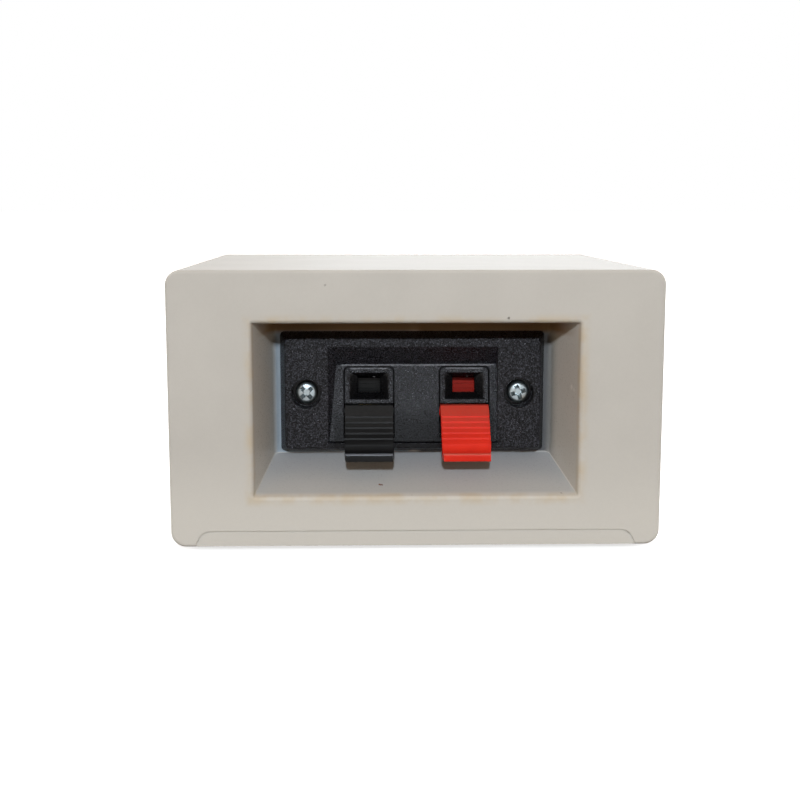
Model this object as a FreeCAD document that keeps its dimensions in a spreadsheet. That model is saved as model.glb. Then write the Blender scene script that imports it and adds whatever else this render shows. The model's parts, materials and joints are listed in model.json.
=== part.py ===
"""A compact loudspeaker: a moulded cabinet with a recessed push terminal at the rear and one
full-range driver behind a honeycomb grille at the front.

Millimetres. +Z is up, +Y is the way the loudspeaker faces, and -Y is its rear, where the terminal is.
The origin is on the surface that the feet stand on, under the middle of the cabinet.
"""

import FreeCAD, Part
import math
import os

import Sketcher

# Driving dimensions: alias, value in millimetres (or a plain count), what it is
SIZES = [
    # Cabinet
    ("cabinet_width", 98.4, "outside width"),
    ("cabinet_height", 55.4, "outside height, without the feet"),
    ("cabinet_depth", 88.0, "outside depth, rear face to front edge"),
    ("front_depth", 10.0, "depth of the front frame, from its joint with the rear cabinet"),
    ("cabinet_wall", 2.4, "wall of the cabinet and of the front frame"),
    ("cabinet_corner", 3.0, "radius of the four long corners"),
    ("rear_edge_round", 0.7, "round of the rear outline"),
    ("front_edge_round", 1.4, "round of the front outline"),
    ("heel_width", 88.4, "width of the shallow step along the rear's lower edge"),
    ("heel_height", 2.1, "height of that step"),
    ("heel_depth", 0.4, "depth of that step"),
    ("heel_corner", 1.8, "radius of that step's upper corners"),
    ("boss_radius", 3.8, "corner boss that takes a front screw"),
    ("boss_inset", 3.4, "boss axis from the inside of the walls"),
    ("boss_length", 15.0, "length of a corner boss"),
    ("pilot_radius", 1.15, "pilot hole of the front screws"),
    ("pilot_depth", 9.0, "depth of a pilot hole, beyond the joint"),
    # Rubber feet
    ("foot_radius", 4.0, "foot"),
    ("foot_proud", 1.2, "height of a foot below the cabinet"),
    ("foot_seat", 0.8, "depth of the seat that a foot is glued into"),
    ("foot_inset", 11.0, "foot axis from the cabinet's sides and rear"),
    ("foot_joint_inset", 7.0, "front foot's axis from the joint with the front frame"),
    ("seat_gap", 0.1, "gap round a foot in its seat"),
    ("foot_bevel", 0.4, "bevel of a foot's lower edge"),
    # Recess in the rear wall
    ("terminal_rise", 1.8, "terminal's centre above the cabinet's middle"),
    ("terminal_shift", 0.35, "terminal's centre left of the cabinet's middle, seen from the rear"),
    ("recess_depth", 14.5, "rear face to the wall that carries the terminal"),
    ("recess_wall", 2.4, "wall of the recess"),
    ("plate_gap", 1.3, "back wall beyond the plate, each side"),
    ("head_gap", 1.6, "back wall above the plate"),
    ("floor_gap", 0.35, "back wall below the plate"),
    ("side_flare", 3.8, "how far a side wall opens out towards the mouth"),
    ("head_flare", 1.3, "how far the ceiling opens out"),
    ("floor_flare", 6.55, "how far the floor falls towards the mouth"),
    ("recess_corner", 0.3, "radius inside the recess's corners"),
    ("back_round", 1.4, "round between a side wall of the recess and its back wall"),
    ("mouth_round", 0.9, "round of the recess's mouth"),
    # Terminal's front plate
    ("plate_width", 55.0, "plate at its seat"),
    ("plate_height", 25.2, "plate at its seat"),
    ("plate_thick", 4.0, "seat to face"),
    ("plate_bevel", 1.2, "how far the sides slope in"),
    ("plate_corner", 1.0, "radius of the plate's corners"),
    ("face_round", 0.25, "round of the face's outline"),
    ("screw_pitch", 44.0, "between the two fixing screws"),
    ("screw_bore", 3.0, "radius of the well that a screw head sits in"),
    ("bore_floor", 0.8, "plate left under a screw head"),
    ("screw_hole", 1.6, "radius of the screw's hole"),
    ("pocket_width", 35.0, "sunk field"),
    ("pocket_top", 9.7, "sunk field's top above the centre"),
    ("pocket_foot", 10.4, "sunk field's foot below the centre"),
    ("ledge_top", 5.65, "upper edge of the sloping face"),
    ("ledge_out", 1.25, "upper edge of the sloping face, out of the seat"),
    ("groove_out", 0.7, "groove above the sloping face, out of the seat"),
    ("groove_width", 0.35, "width of that groove and of the one below the sloping face"),
    ("groove_depth", 0.8, "depth of the groove below the sloping face"),
    ("tray_step", 0.3, "sloping face's foot below the plate's face"),
    ("cheek_run", 2.0, "run of the sloping left cheek"),
    ("port_shift", 0.85, "middle of the two poles beside the plate's middle"),
    ("pole_pitch", 19.8, "between the two poles"),
    ("slot_width", 10.4, "opening for a port tower and its lever"),
    ("slot_foot", 9.3, "that opening's foot below the centre"),
    ("slot_corner", 1.1, "radius of its upper corners"),
    # Terminal's rear body
    ("body_width", 34.0, "body behind the plate"),
    ("body_back", 15.0, "depth of the body behind the seat"),
    ("body_wall", 1.2, "wall of the body"),
    ("flange_rim", 1.2, "flange beyond the body"),
    ("flange_thick", 1.2, "flange"),
    ("body_gap", 0.25, "gap between the body and the wall that it goes through"),
    ("tower_gap", 0.12, "gap between a port tower and the plate"),
    ("tower_top", 5.2, "top of a port tower"),
    ("tower_foot", 2.3, "foot of a port tower, below the centre"),
    ("tower_sink", 0.15, "tower's face below the sloping face"),
    ("mouth_width", 8.1, "mouth of a wire port"),
    ("mouth_top", 4.05, "top of the mouth"),
    ("mouth_foot", 1.45, "foot of the mouth, below the centre"),
    ("hole_width", 4.6, "wire hole at the end of the mouth"),
    ("hole_top", 3.1, "top of the wire hole"),
    ("hole_foot", 0.35, "foot of the wire hole, below the centre"),
    ("hole_back", 0.1, "start of the wire hole behind the seat"),
    ("port_wall", 0.8, "wall that the wire hole goes through"),
    ("cavity_top", 8.3, "ceiling of a pole's cavity"),
    ("cavity_floor", 6.6, "floor of a pole's cavity, below the centre"),
    # Levers
    ("lever_width", 10.0, "lever"),
    ("pivot_out", 0.9, "pivot, out of the seat"),
    ("pivot_drop", 4.2, "pivot, below the centre"),
    ("trunnion_radius", 0.8, "pivot pin moulded on the lever"),
    ("trunnion_reach", 1.1, "pin beyond the lever's side"),
    ("pivot_gap", 0.06, "running clearance of a pin"),
    ("hub_radius", 1.25, "hub round the pivot"),
    ("pad_top", 2.62, "pad's upper edge, below the centre"),
    ("pad_out", 3.2, "pad's upper edge, out of the seat"),
    ("bend_out", 9.55, "end of the stepped slope, out of the seat"),
    ("bend_drop", 9.45, "end of the stepped slope, below the centre"),
    ("lip_out", 12.5, "finger lip, out of the seat"),
    ("lip_top", 11.2, "upper edge of the lip, below the centre"),
    ("lip_taper", 0.27, "how much the lever closes in to its lip, each side"),
    ("lip_thick", 1.45, "lip"),
    ("pad_thick", 1.3, "pad"),
    ("step_count", 5.0, "steps across the pad"),
    ("plain_out", 5.44, "end of the pad's plain upper stretch, out of the seat"),
    ("plain_drop", 4.5, "end of the pad's plain upper stretch, below the centre"),
    ("step_rise", 0.3, "upright face of a step"),
    ("hollow_out", 12.1, "middle of the hollow above the lip, out of the seat"),
    ("arm_top", 3.3, "upper side of the inner arm, below the centre"),
    ("arm_foot", 4.9, "under side of the inner arm, below the centre"),
    ("arm_width", 7.0, "inner arm and shutter"),
    ("shutter_back", 3.2, "front of the shutter, behind the seat"),
    ("shutter_thick", 1.2, "shutter"),
    ("shutter_top", 2.35, "top of the shutter"),
    ("shutter_groove", 0.2, "width and depth of the grooves across the shutter"),
    ("shutter_pitch", 1.1, "shutter's top to its first groove, and from that to the second"),
    ("window_top", 0.65, "top of the shutter's window, below the centre"),
    ("window_foot", 2.9, "foot of the shutter's window, below the centre"),
    ("window_width", 5.0, "shutter's window"),
    ("spring_seat", 3.0, "depth of the shelf that the spring stands on"),
    ("seat_thick", 1.0, "that shelf"),
    ("peg_radius", 0.65, "peg inside the spring"),
    ("peg_height", 1.0, "peg inside the spring"),
    # Springs and contacts
    ("coil_radius", 1.1, "spring, at the middle of its wire"),
    ("spring_wire", 0.34, "diameter of the spring's wire"),
    ("spring_turns", 4.0, "turns"),
    ("contact_back", 5.1, "contact's upright, behind the seat"),
    ("contact_thick", 0.6, "contact strip"),
    ("contact_width", 4.8, "contact strip"),
    ("contact_top", 0.6, "contact's upper edge, below the centre"),
    ("tab_reach", 7.0, "solder tab behind the body"),
    ("tab_hole", 0.8, "radius of the hole in a tab"),
    ("tab_hole_inset", 2.2, "that hole from the tab's end"),
    ("tab_gap", 0.05, "gap round a tab in its slot"),
    # Screws
    ("head_radius", 2.35, "screw head"),
    ("head_height", 1.7, "screw head"),
    ("head_bevel", 0.8, "bevel of the head's edge"),
    ("shank_radius", 1.1, "screw shank, at the root of the thread"),
    ("screw_length", 8.0, "terminal screw under its head"),
    ("front_screw_length", 10.0, "front screw under its head"),
    ("cross_width", 0.8, "arm of the cross recess"),
    ("cross_span", 2.6, "cross recess from tip to tip"),
    ("cross_depth", 1.0, "cross recess"),
    ("screw_boss_radius", 2.6, "boss behind the recess's back wall"),
    ("screw_boss_length", 6.0, "that boss"),
    # Front frame and grille
    ("baffle_thick", 3.0, "baffle that carries the driver"),
    ("ledge_width", 1.0, "ledge that the grille rests on"),
    ("grille_sink", 0.6, "grille below the front edge"),
    ("grille_thick", 1.0, "grille sheet"),
    ("grille_gap", 0.15, "gap round the grille"),
    ("cell_pitch", 5.0, "honeycomb cell to cell"),
    ("cell_flat", 4.0, "honeycomb hole across its flats"),
    ("grille_border", 2.2, "plain border of the grille"),
    # Driver: frame
    ("driver_margin", 2.3, "mounting flange from the front frame's inside"),
    ("driver_corner", 4.0, "radius of its corners"),
    ("driver_screw_inset", 3.5, "screw holes from the flange's sides"),
    ("flange_plate", 1.0, "mounting flange"),
    ("sheet_thick", 0.8, "pressed sheet of the frame"),
    ("mouth_rim", 3.4, "flange left outside the frame's mouth"),
    ("basket_hole_gap", 0.7, "gap between the frame and the baffle's hole"),
    ("ledge_step", 4.0, "frame's mouth to the outer radius of the spider's ledge"),
    ("spider_land", 2.2, "width of the spider's ledge"),
    ("ledge_depth", 8.0, "mounting plane to the spider's ledge"),
    ("plate_depth", 12.4, "mounting plane to the frame's back"),
    ("basket_bore", 8.4, "radius of the hole in the frame's back"),
    ("window_count", 4.0, "windows in the frame's side"),
    ("basket_window_width", 12.0, "window"),
    ("basket_window_depth", 5.0, "window, along the axis"),
    ("basket_window_start", 1.6, "mounting plane to the window"),
    # Driver: motor
    ("pole_radius", 6.0, "pole piece"),
    ("gap_radius", 7.2, "bore of the top plate"),
    ("top_plate_radius", 13.0, "top plate"),
    ("top_plate_thick", 3.0, "top plate"),
    ("magnet_inner", 8.6, "ring magnet"),
    ("magnet_outer", 15.5, "ring magnet"),
    ("magnet_thick", 6.0, "ring magnet"),
    ("yoke_radius", 13.0, "yoke plate"),
    ("yoke_thick", 3.0, "yoke plate"),
    ("former_radius", 6.35, "inside of the coil former"),
    ("former_thick", 0.15, "coil former"),
    ("former_length", 12.0, "coil former"),
    ("former_front", 6.0, "mounting plane to the former's front edge"),
    ("coil_thick", 0.4, "winding"),
    ("coil_length", 5.0, "winding"),
    # Driver: cone
    ("land_margin", 0.85, "surround's edge from the flange's sides"),
    ("cone_thick", 0.4, "cone"),
    ("glue_gap", 0.05, "seam between a moving piece and the next"),
    ("roll_radius", 1.3, "half roll of the surround, at the middle of its sheet"),
    ("surround_thick", 0.3, "surround"),
    ("surround_land", 2.2, "flat outer edge of the surround"),
    ("gasket_thick", 1.2, "gasket over the surround's edge"),
    ("gasket_width", 1.9, "gasket"),
    ("cap_radius", 7.6, "dust cap at its foot"),
    ("cap_height", 2.2, "dust cap"),
    ("spider_waves", 3.0, "corrugations of the spider"),
    ("spider_wave_height", 0.7, "corrugation"),
    ("spider_thick", 0.25, "spider"),
    # Driver: terminals and leads
    ("board_width", 13.0, "terminal board"),
    ("board_height", 6.4, "terminal board"),
    ("board_thick", 1.0, "terminal board"),
    ("board_lap", 1.4, "board's overlap on the spider's ledge"),
    ("lug_pitch", 7.6, "between the two solder lugs"),
    ("lug_width", 2.6, "lug"),
    ("lug_height", 4.0, "lug"),
    ("lug_thick", 0.5, "lug"),
    ("lug_inset", 0.6, "lug from the board's lower edge"),
    ("lead_radius", 0.75, "insulated lead"),
    ("lead_drop", 19.0, "lowest run of a lead below the driver's axis"),
]


class Formula:
    """A size as a number, with the expression that gives it from the sheet."""

    def __init__(self, text, value):
        self.text = text
        self.value = float(value)

    def joined(self, sign, other, value):
        return Formula(f"({self.text} {sign} {as_formula(other).text})", value)

    def __add__(self, other):
        return self.joined("+", other, self.value + as_formula(other).value)

    def __sub__(self, other):
        return self.joined("-", other, self.value - as_formula(other).value)

    def __mul__(self, other):
        return self.joined("*", other, self.value * as_formula(other).value)

    def __truediv__(self, other):
        return self.joined("/", other, self.value / as_formula(other).value)

    def __radd__(self, other):
        return as_formula(other) + self

    def __rsub__(self, other):
        return as_formula(other) - self

    def __rmul__(self, other):
        return as_formula(other) * self

    def __neg__(self):
        return Formula(f"(0 - {self.text})", -self.value)


def as_formula(size):
    return size if isinstance(size, Formula) else Formula(repr(float(size)), size)


def diagonal(across, up):
    return Formula(f"hypot({across.text}; {up.text})", math.hypot(across.value, up.value))


class Sizes:
    """The driving dimensions by name, each as a formula that reads its cell."""


def fill_sheet(document):
    sheet = document.addObject("Spreadsheet::Sheet", "Sizes")
    size = Sizes()
    for row, (alias, value, note) in enumerate(SIZES, start=1):
        sheet.set(f"A{row}", alias)
        sheet.set(f"B{row}", str(value))
        sheet.setAlias(f"B{row}", alias)
        sheet.set(f"C{row}", note)
        setattr(size, alias, Formula(f"Sizes.{alias}", value))
    document.recompute()
    return size


doc = FreeCAD.newDocument("loudspeaker")
s = fill_sheet(doc)
parts = []

# Places that several pieces share
REAR_Y = -s.cabinet_depth / 2
FRONT_Y = s.cabinet_depth / 2
JOINT_Y = FRONT_Y - s.front_depth
SEAT_Y = REAR_Y + s.recess_depth
BAFFLE_Y = JOINT_Y + s.baffle_thick
FLOOR_Z = s.foot_proud
MIDDLE_Z = s.foot_proud + s.cabinet_height / 2
TERMINAL_Z = MIDDLE_Z + s.terminal_rise
TERMINAL_X = -s.terminal_shift
POLES = {"black": s.port_shift - s.pole_pitch / 2, "red": s.port_shift + s.pole_pitch / 2}
SIDES = (-1, 1)

# Which way a sketch's own normal points, along the axis across its plane
NORMAL = {"XY": 1, "XZ": -1, "YZ": 1}


# Sketching and feature helpers


def bind(thing, name, size):
    thing.setExpression(name, as_formula(size).text)


def place(thing, x=0, y=0, z=0):
    for axis, size in zip("xyz", (x, y, z)):
        bind(thing, f"Placement.Base.{axis}", size)


def new_body(label, x=0, y=0, z=0):
    body = doc.addObject("PartDesign::Body", label)
    body.Label = label
    place(body, x, y, z)
    parts.append(body)
    return body


def new_sketch(body, plane, across=0):
    """A sketch on one of the body's own planes, moved to a place across that plane."""
    sketch = body.newObject("Sketcher::SketchObject", "Sketch")
    support = next(f for f in body.Origin.OriginFeatures if f.Role == f"{plane}_Plane")
    sketch.AttachmentSupport = [(support, "")]
    sketch.MapMode = "FlatFace"
    bind(sketch, "AttachmentOffset.Base.z", NORMAL[plane] * as_formula(across))
    return sketch


def pin_point(sketch, geometry, spot, across, up):
    for kind, size in (("DistanceX", across), ("DistanceY", up)):
        if size is not None:
            size = as_formula(size)
            number = sketch.addConstraint(
                Sketcher.Constraint(kind, -1, 1, geometry, spot, size.value)
            )
            bind(sketch, f"Constraints[{number}]", size)


def add_arc(sketch, start, end, centre, clockwise):
    middle = FreeCAD.Vector(centre[0].value, centre[1].value, 0)
    circle = Part.Circle(middle, FreeCAD.Vector(0, 0, 1), start.distanceToPoint(middle))
    angles = [math.atan2(p.y - middle.y, p.x - middle.x) for p in (start, end)]
    if clockwise:
        return sketch.addGeometry(Part.ArcOfCircle(circle, angles[1], angles[0])), 2, 1
    return sketch.addGeometry(Part.ArcOfCircle(circle, angles[0], angles[1])), 1, 2


def outline(sketch, points, arcs=None):
    """A closed outline through points. arcs maps a point's number to the arc that leaves it:
    (centre, clockwise, which coordinate of the centre is pinned)."""
    arcs = arcs or {}
    points = [(as_formula(across), as_formula(up)) for across, up in points]
    spots = [FreeCAD.Vector(across.value, up.value, 0) for across, up in points]
    starts = []
    ends = []
    for number, spot in enumerate(spots):
        following = spots[(number + 1) % len(spots)]
        if number in arcs:
            centre, clockwise, pinned = arcs[number]
            centre = [as_formula(size) for size in centre]
            geometry, first, last = add_arc(sketch, spot, following, centre, clockwise)
            held = (centre[0], None) if pinned == "across" else (None, centre[1])
            pin_point(sketch, geometry, 3, *held)
        else:
            geometry, first, last = sketch.addGeometry(Part.LineSegment(spot, following)), 1, 2
        starts.append((geometry, first))
        ends.append((geometry, last))
    for number, point in enumerate(points):
        sketch.addConstraint(Sketcher.Constraint("Coincident", *ends[number - 1], *starts[number]))
        pin_point(sketch, *starts[number], *point)
    return sketch


def rectangle(sketch, left, right, low, high):
    return outline(sketch, [(left, low), (right, low), (right, high), (left, high)])


def circle(sketch, across, up, radius):
    across, up, radius = as_formula(across), as_formula(up), as_formula(radius)
    middle = FreeCAD.Vector(across.value, up.value, 0)
    geometry = sketch.addGeometry(Part.Circle(middle, FreeCAD.Vector(0, 0, 1), radius.value))
    pin_point(sketch, geometry, 3, across, up)
    number = sketch.addConstraint(Sketcher.Constraint("Radius", geometry, radius.value))
    bind(sketch, f"Constraints[{number}]", radius)
    return sketch


def plane_of(sketch):
    return sketch.AttachmentSupport[0][0].Role[:2]


def pad(body, sketch, length, toward=1):
    """Extrudes a sketch towards +1 or -1 along the axis across it, or both ways evenly for 0."""
    feature = body.newObject("PartDesign::Pad", "Pad")
    feature.Profile = sketch
    bind(feature, "Length", length)
    feature.Midplane = toward == 0
    feature.Reversed = toward == -NORMAL[plane_of(sketch)]
    doc.recompute()
    return feature


def pocket(body, sketch, length, toward=1):
    """Cuts a sketch away, in the directions that pad uses, and tests that something was cut."""
    before = body.Shape.Volume
    feature = body.newObject("PartDesign::Pocket", "Pocket")
    feature.Profile = sketch
    bind(feature, "Length", length)
    feature.Midplane = toward == 0
    feature.Reversed = toward == NORMAL[plane_of(sketch)]
    doc.recompute()
    if not body.Shape.Volume < before:
        raise RuntimeError(f"a pocket of {body.Label} cut nothing")
    return feature


def loft(body, kind, first, second):
    feature = body.newObject(f"PartDesign::{kind}Loft", "Loft")
    feature.Profile = first
    feature.Sections = [second]
    feature.Ruled = True
    doc.recompute()
    return feature


def revolve(body, sketch):
    """Turns a sketch of radius against length round its own upright axis."""
    feature = body.newObject("PartDesign::Revolution", "Revolution")
    feature.Profile = sketch
    feature.ReferenceAxis = (sketch, ["V_Axis"])
    feature.Angle = 360
    doc.recompute()
    return feature


def round_edges(body, radius, wanted):
    """Rounds the edges that wanted(edge, box) picks from the body's last feature."""
    tip = body.Tip
    names = [f"Edge{n}" for n, e in enumerate(tip.Shape.Edges, start=1) if wanted(e, e.BoundBox)]
    if not names:
        raise RuntimeError(f"{body.Label} has no such edge to round")
    feature = body.newObject("PartDesign::Fillet", "Fillet")
    feature.Base = (tip, names)
    bind(feature, "Radius", radius)
    doc.recompute()
    return feature


def group(label, members):
    """Like pieces kept as separate solids of one node."""
    compound = doc.addObject("Part::Compound", label)
    compound.Links = members
    compound.Label = label
    parts.append(compound)


NEAR = 1e-4


def lies_in(low, high, *places):
    """True if an edge's extent along one axis is a single one of these places."""
    return high - low < NEAR and any(abs(low - as_formula(p).value) < NEAR for p in places)


# Rear cabinet: a moulded shell, open in front, with the terminal's recess sunk into its rear wall


def recess_section(sketch, at_back, wall=0):
    """The recess's rectangle at its back wall or at its mouth, grown by a wall."""
    flare = 0 if at_back else 1
    half = s.plate_width / 2 + s.plate_gap + flare * s.side_flare + wall
    high = s.plate_height / 2 + s.head_gap + flare * s.head_flare + wall
    low = s.plate_height / 2 + s.floor_gap + flare * s.floor_flare + wall
    middle = TERMINAL_X if at_back else as_formula(0)
    return rectangle(sketch, middle - half, middle + half, TERMINAL_Z - low, TERMINAL_Z + high)


def body_section(sketch, rim):
    """The terminal body's rectangle, grown by a rim."""
    half = s.body_width / 2 + rim
    low = TERMINAL_Z - s.cavity_floor - s.body_wall - rim
    high = TERMINAL_Z + s.cavity_top + s.body_wall + rim
    middle = TERMINAL_X + s.port_shift
    return rectangle(sketch, middle - half, middle + half, low, high)


def corner_bosses():
    half = s.cabinet_width / 2 - s.cabinet_wall - s.boss_inset
    rise = s.cabinet_height / 2 - s.cabinet_wall - s.boss_inset
    return [(i * half, MIDDLE_Z + k * rise) for i in SIDES for k in SIDES]


def foot_places():
    half = s.cabinet_width / 2 - s.foot_inset
    rows = (REAR_Y + s.foot_inset, JOINT_Y - s.foot_joint_inset)
    return [(side * half, row) for side in SIDES for row in rows]


def terminal_screw_places():
    return [TERMINAL_X + side * s.screw_pitch / 2 for side in SIDES]


def along_y(edge, box):
    return box.YLength > NEAR and box.XLength < NEAR and box.ZLength < NEAR


def rear_cabinet():
    body = new_body("rear_cabinet")
    half = s.cabinet_width / 2
    top = FLOOR_Z + s.cabinet_height
    outer = rectangle(new_sketch(body, "XZ", REAR_Y), -half, half, FLOOR_Z, top)
    pad(body, outer, JOINT_Y - REAR_Y)
    round_edges(body, s.cabinet_corner, along_y)
    round_edges(body, s.rear_edge_round, lambda e, b: lies_in(b.YMin, b.YMax, REAR_Y))

    wall = s.cabinet_wall
    inner = rectangle(
        new_sketch(body, "XZ", JOINT_Y), wall - half, half - wall, FLOOR_Z + wall, top - wall
    )
    pocket(body, inner, JOINT_Y - REAR_Y - wall, toward=-1)

    # The recess: a cup that stands inside the cabinet, then the space cut out of it
    cup_front = recess_section(new_sketch(body, "XZ", REAR_Y + wall), False, s.recess_wall)
    cup_back = recess_section(new_sketch(body, "XZ", SEAT_Y + s.recess_wall), True, s.recess_wall)
    loft(body, "Additive", cup_front, cup_back)
    mouth = recess_section(new_sketch(body, "XZ", REAR_Y), False)
    back = recess_section(new_sketch(body, "XZ", SEAT_Y), True)
    cut = loft(body, "Subtractive", mouth, back)

    def back_edge(edge, box):
        return lies_in(box.YMin, box.YMax, SEAT_Y) and box.XLength < NEAR

    def recess_edge(edge, box):
        inward = (SEAT_Y - s.back_round * 2).value < box.YMax < SEAT_Y.value + NEAR
        return abs(box.YMin - REAR_Y.value) < NEAR and inward and len(edge.Vertexes) == 2

    if not cut.Shape.isValid():
        raise RuntimeError("the recess is not valid")
    round_edges(body, s.back_round, back_edge)
    round_edges(body, s.recess_corner, recess_edge)

    def mouth_edge(edge, box):
        inside = max(abs(box.XMin), abs(box.XMax)) < (half - s.cabinet_corner).value
        above = box.ZMin > (FLOOR_Z + s.cabinet_corner).value
        return lies_in(box.YMin, box.YMax, REAR_Y) and inside and above

    round_edges(body, s.mouth_round, mouth_edge)

    # Bosses for the terminal's screws, then the opening that the terminal's body goes through
    for across in terminal_screw_places():
        boss = circle(new_sketch(body, "XZ", SEAT_Y + s.recess_wall / 2), across, TERMINAL_Z,
                      s.screw_boss_radius)
        pad(body, boss, s.recess_wall / 2 + s.screw_boss_length)
        pilot = circle(new_sketch(body, "XZ", SEAT_Y), across, TERMINAL_Z, s.shank_radius)
        pocket(body, pilot, s.recess_wall + s.screw_boss_length)
    opening = body_section(new_sketch(body, "XZ", SEAT_Y), s.body_gap)
    pocket(body, opening, s.recess_wall * 2)
    rebate = body_section(new_sketch(body, "XZ", SEAT_Y), s.flange_rim + s.body_gap)
    pocket(body, rebate, s.flange_thick)

    # Corner bosses for the front screws
    for across, up in corner_bosses():
        boss = circle(new_sketch(body, "XZ", JOINT_Y), across, up, s.boss_radius)
        pad(body, boss, s.boss_length, toward=-1)
        pilot = circle(new_sketch(body, "XZ", JOINT_Y), across, up, s.pilot_radius)
        pocket(body, pilot, s.pilot_depth, toward=-1)

    # The step along the rear's lower edge, and the seats of the feet
    heel = new_sketch(body, "XZ", REAR_Y)
    edge = s.heel_width / 2
    shoulder = edge - s.heel_corner
    ridge = FLOOR_Z + s.heel_height
    bend = ridge - s.heel_corner
    outline(
        heel,
        [(-edge, FLOOR_Z - s.heel_height), (edge, FLOOR_Z - s.heel_height), (edge, bend),
         (shoulder, ridge), (-shoulder, ridge), (-edge, bend)],
        arcs={2: ((shoulder, bend), False, "across"), 4: ((-shoulder, bend), False, "across")},
    )
    pocket(body, heel, s.heel_depth)
    for across, along in foot_places():
        seat = circle(new_sketch(body, "XY", FLOOR_Z), across, along, s.foot_radius + s.seat_gap)
        pocket(body, seat, s.foot_seat)


def rubber_feet():
    """Four glued feet, each a short disc with a bevelled lower edge."""
    feet = []
    for across, along in foot_places():
        foot = doc.addObject("PartDesign::Body", "foot")
        place(foot, across, along, 0)
        edge = s.foot_radius - s.foot_bevel
        top = s.foot_proud + s.foot_seat
        profile = new_sketch(foot, "XZ")
        outline(profile, [(0, 0), (edge, 0), (s.foot_radius, s.foot_bevel), (s.foot_radius, top), (0, top)])
        revolve(foot, profile)
        feet.append(foot)
    group("rubber_feet", feet)


# Terminal's front plate


def face_out(drop):
    """How far the sloping face stands out of the seat, at a drop below the terminal's centre."""
    foot = s.plate_thick - s.tray_step
    return s.ledge_out + (foot - s.ledge_out) * (drop + s.ledge_top) / (s.ledge_top + s.pocket_foot)


def terminal_plate():
    body = new_body("terminal_plate", TERMINAL_X, SEAT_Y, TERMINAL_Z)

    def section(out, bevel):
        half = s.plate_width / 2 - bevel
        rise = s.plate_height / 2 - bevel
        return rectangle(new_sketch(body, "XZ", -as_formula(out)), -half, half, -rise, rise)

    loft(body, "Additive", section(0, as_formula(0)), section(s.plate_thick, s.plate_bevel))
    round_edges(body, s.plate_corner, lambda e, b: b.YLength > NEAR)
    face = -s.plate_thick
    round_edges(body, s.face_round, lambda e, b: lies_in(b.YMin, b.YMax, face))

    # The sunk field: an overhung head, and between two grooves a face that slopes out downwards
    field = new_sketch(body, "YZ")
    foot = s.pocket_foot - s.groove_width
    outline(
        field,
        [(face - s.plate_thick, s.pocket_top), (face, s.pocket_top),
         (-s.groove_out, s.ledge_top + s.groove_width), (-s.groove_out, s.ledge_top),
         (-s.ledge_out, s.ledge_top), (-face_out(foot), -foot), (s.groove_depth - face_out(foot), -foot),
         (s.groove_depth - face_out(foot), -s.pocket_foot), (face - s.plate_thick, -s.pocket_foot)],
    )
    pocket(body, field, s.pocket_width, toward=0)
    cheek = new_sketch(body, "XY", -s.pocket_foot)
    edge = -s.pocket_width / 2
    outline(cheek, [(edge, face), (edge + s.cheek_run, -s.groove_out), (edge, -s.groove_out)])
    pad(body, cheek, s.pocket_foot + s.pocket_top)

    # Openings for the port towers and levers, with notches behind that hold the levers' pins
    for middle in POLES.values():
        slot = new_sketch(body, "XZ", 0)
        half = s.slot_width / 2
        top = s.tower_top + s.tower_gap
        bend = top - s.slot_corner
        outline(
            slot,
            [(middle - half, -s.slot_foot), (middle + half, -s.slot_foot), (middle + half, bend),
             (middle + half - s.slot_corner, top), (middle - half + s.slot_corner, top),
             (middle - half, bend)],
            arcs={2: ((middle + half - s.slot_corner, bend), False, "across"),
                  4: ((middle - half + s.slot_corner, bend), False, "across")},
        )
        pocket(body, slot, s.plate_thick * 2, toward=0)
        notch = new_sketch(body, "YZ", middle)
        reach = s.trunnion_radius + s.pivot_gap
        outline(
            notch,
            [(0, -s.pivot_drop - reach), (0, -s.pivot_drop + reach),
             (-s.pivot_out, -s.pivot_drop + reach), (-s.pivot_out, -s.pivot_drop - reach)],
            arcs={2: ((-s.pivot_out, -s.pivot_drop), False, "across")},
        )
        pocket(body, notch, s.lever_width + 2 * s.trunnion_reach + 2 * s.tower_gap, toward=0)

    for side in SIDES:
        well = circle(new_sketch(body, "XZ", -s.bore_floor), side * s.screw_pitch / 2, 0,
                      s.screw_bore)
        pocket(body, well, s.plate_thick, toward=-1)
        hole = circle(new_sketch(body, "XZ", 0), side * s.screw_pitch / 2, 0, s.screw_hole)
        pocket(body, hole, s.plate_thick, toward=-1)


# Terminal's rear body: a flanged block with two port towers, each with a cavity behind it


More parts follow.
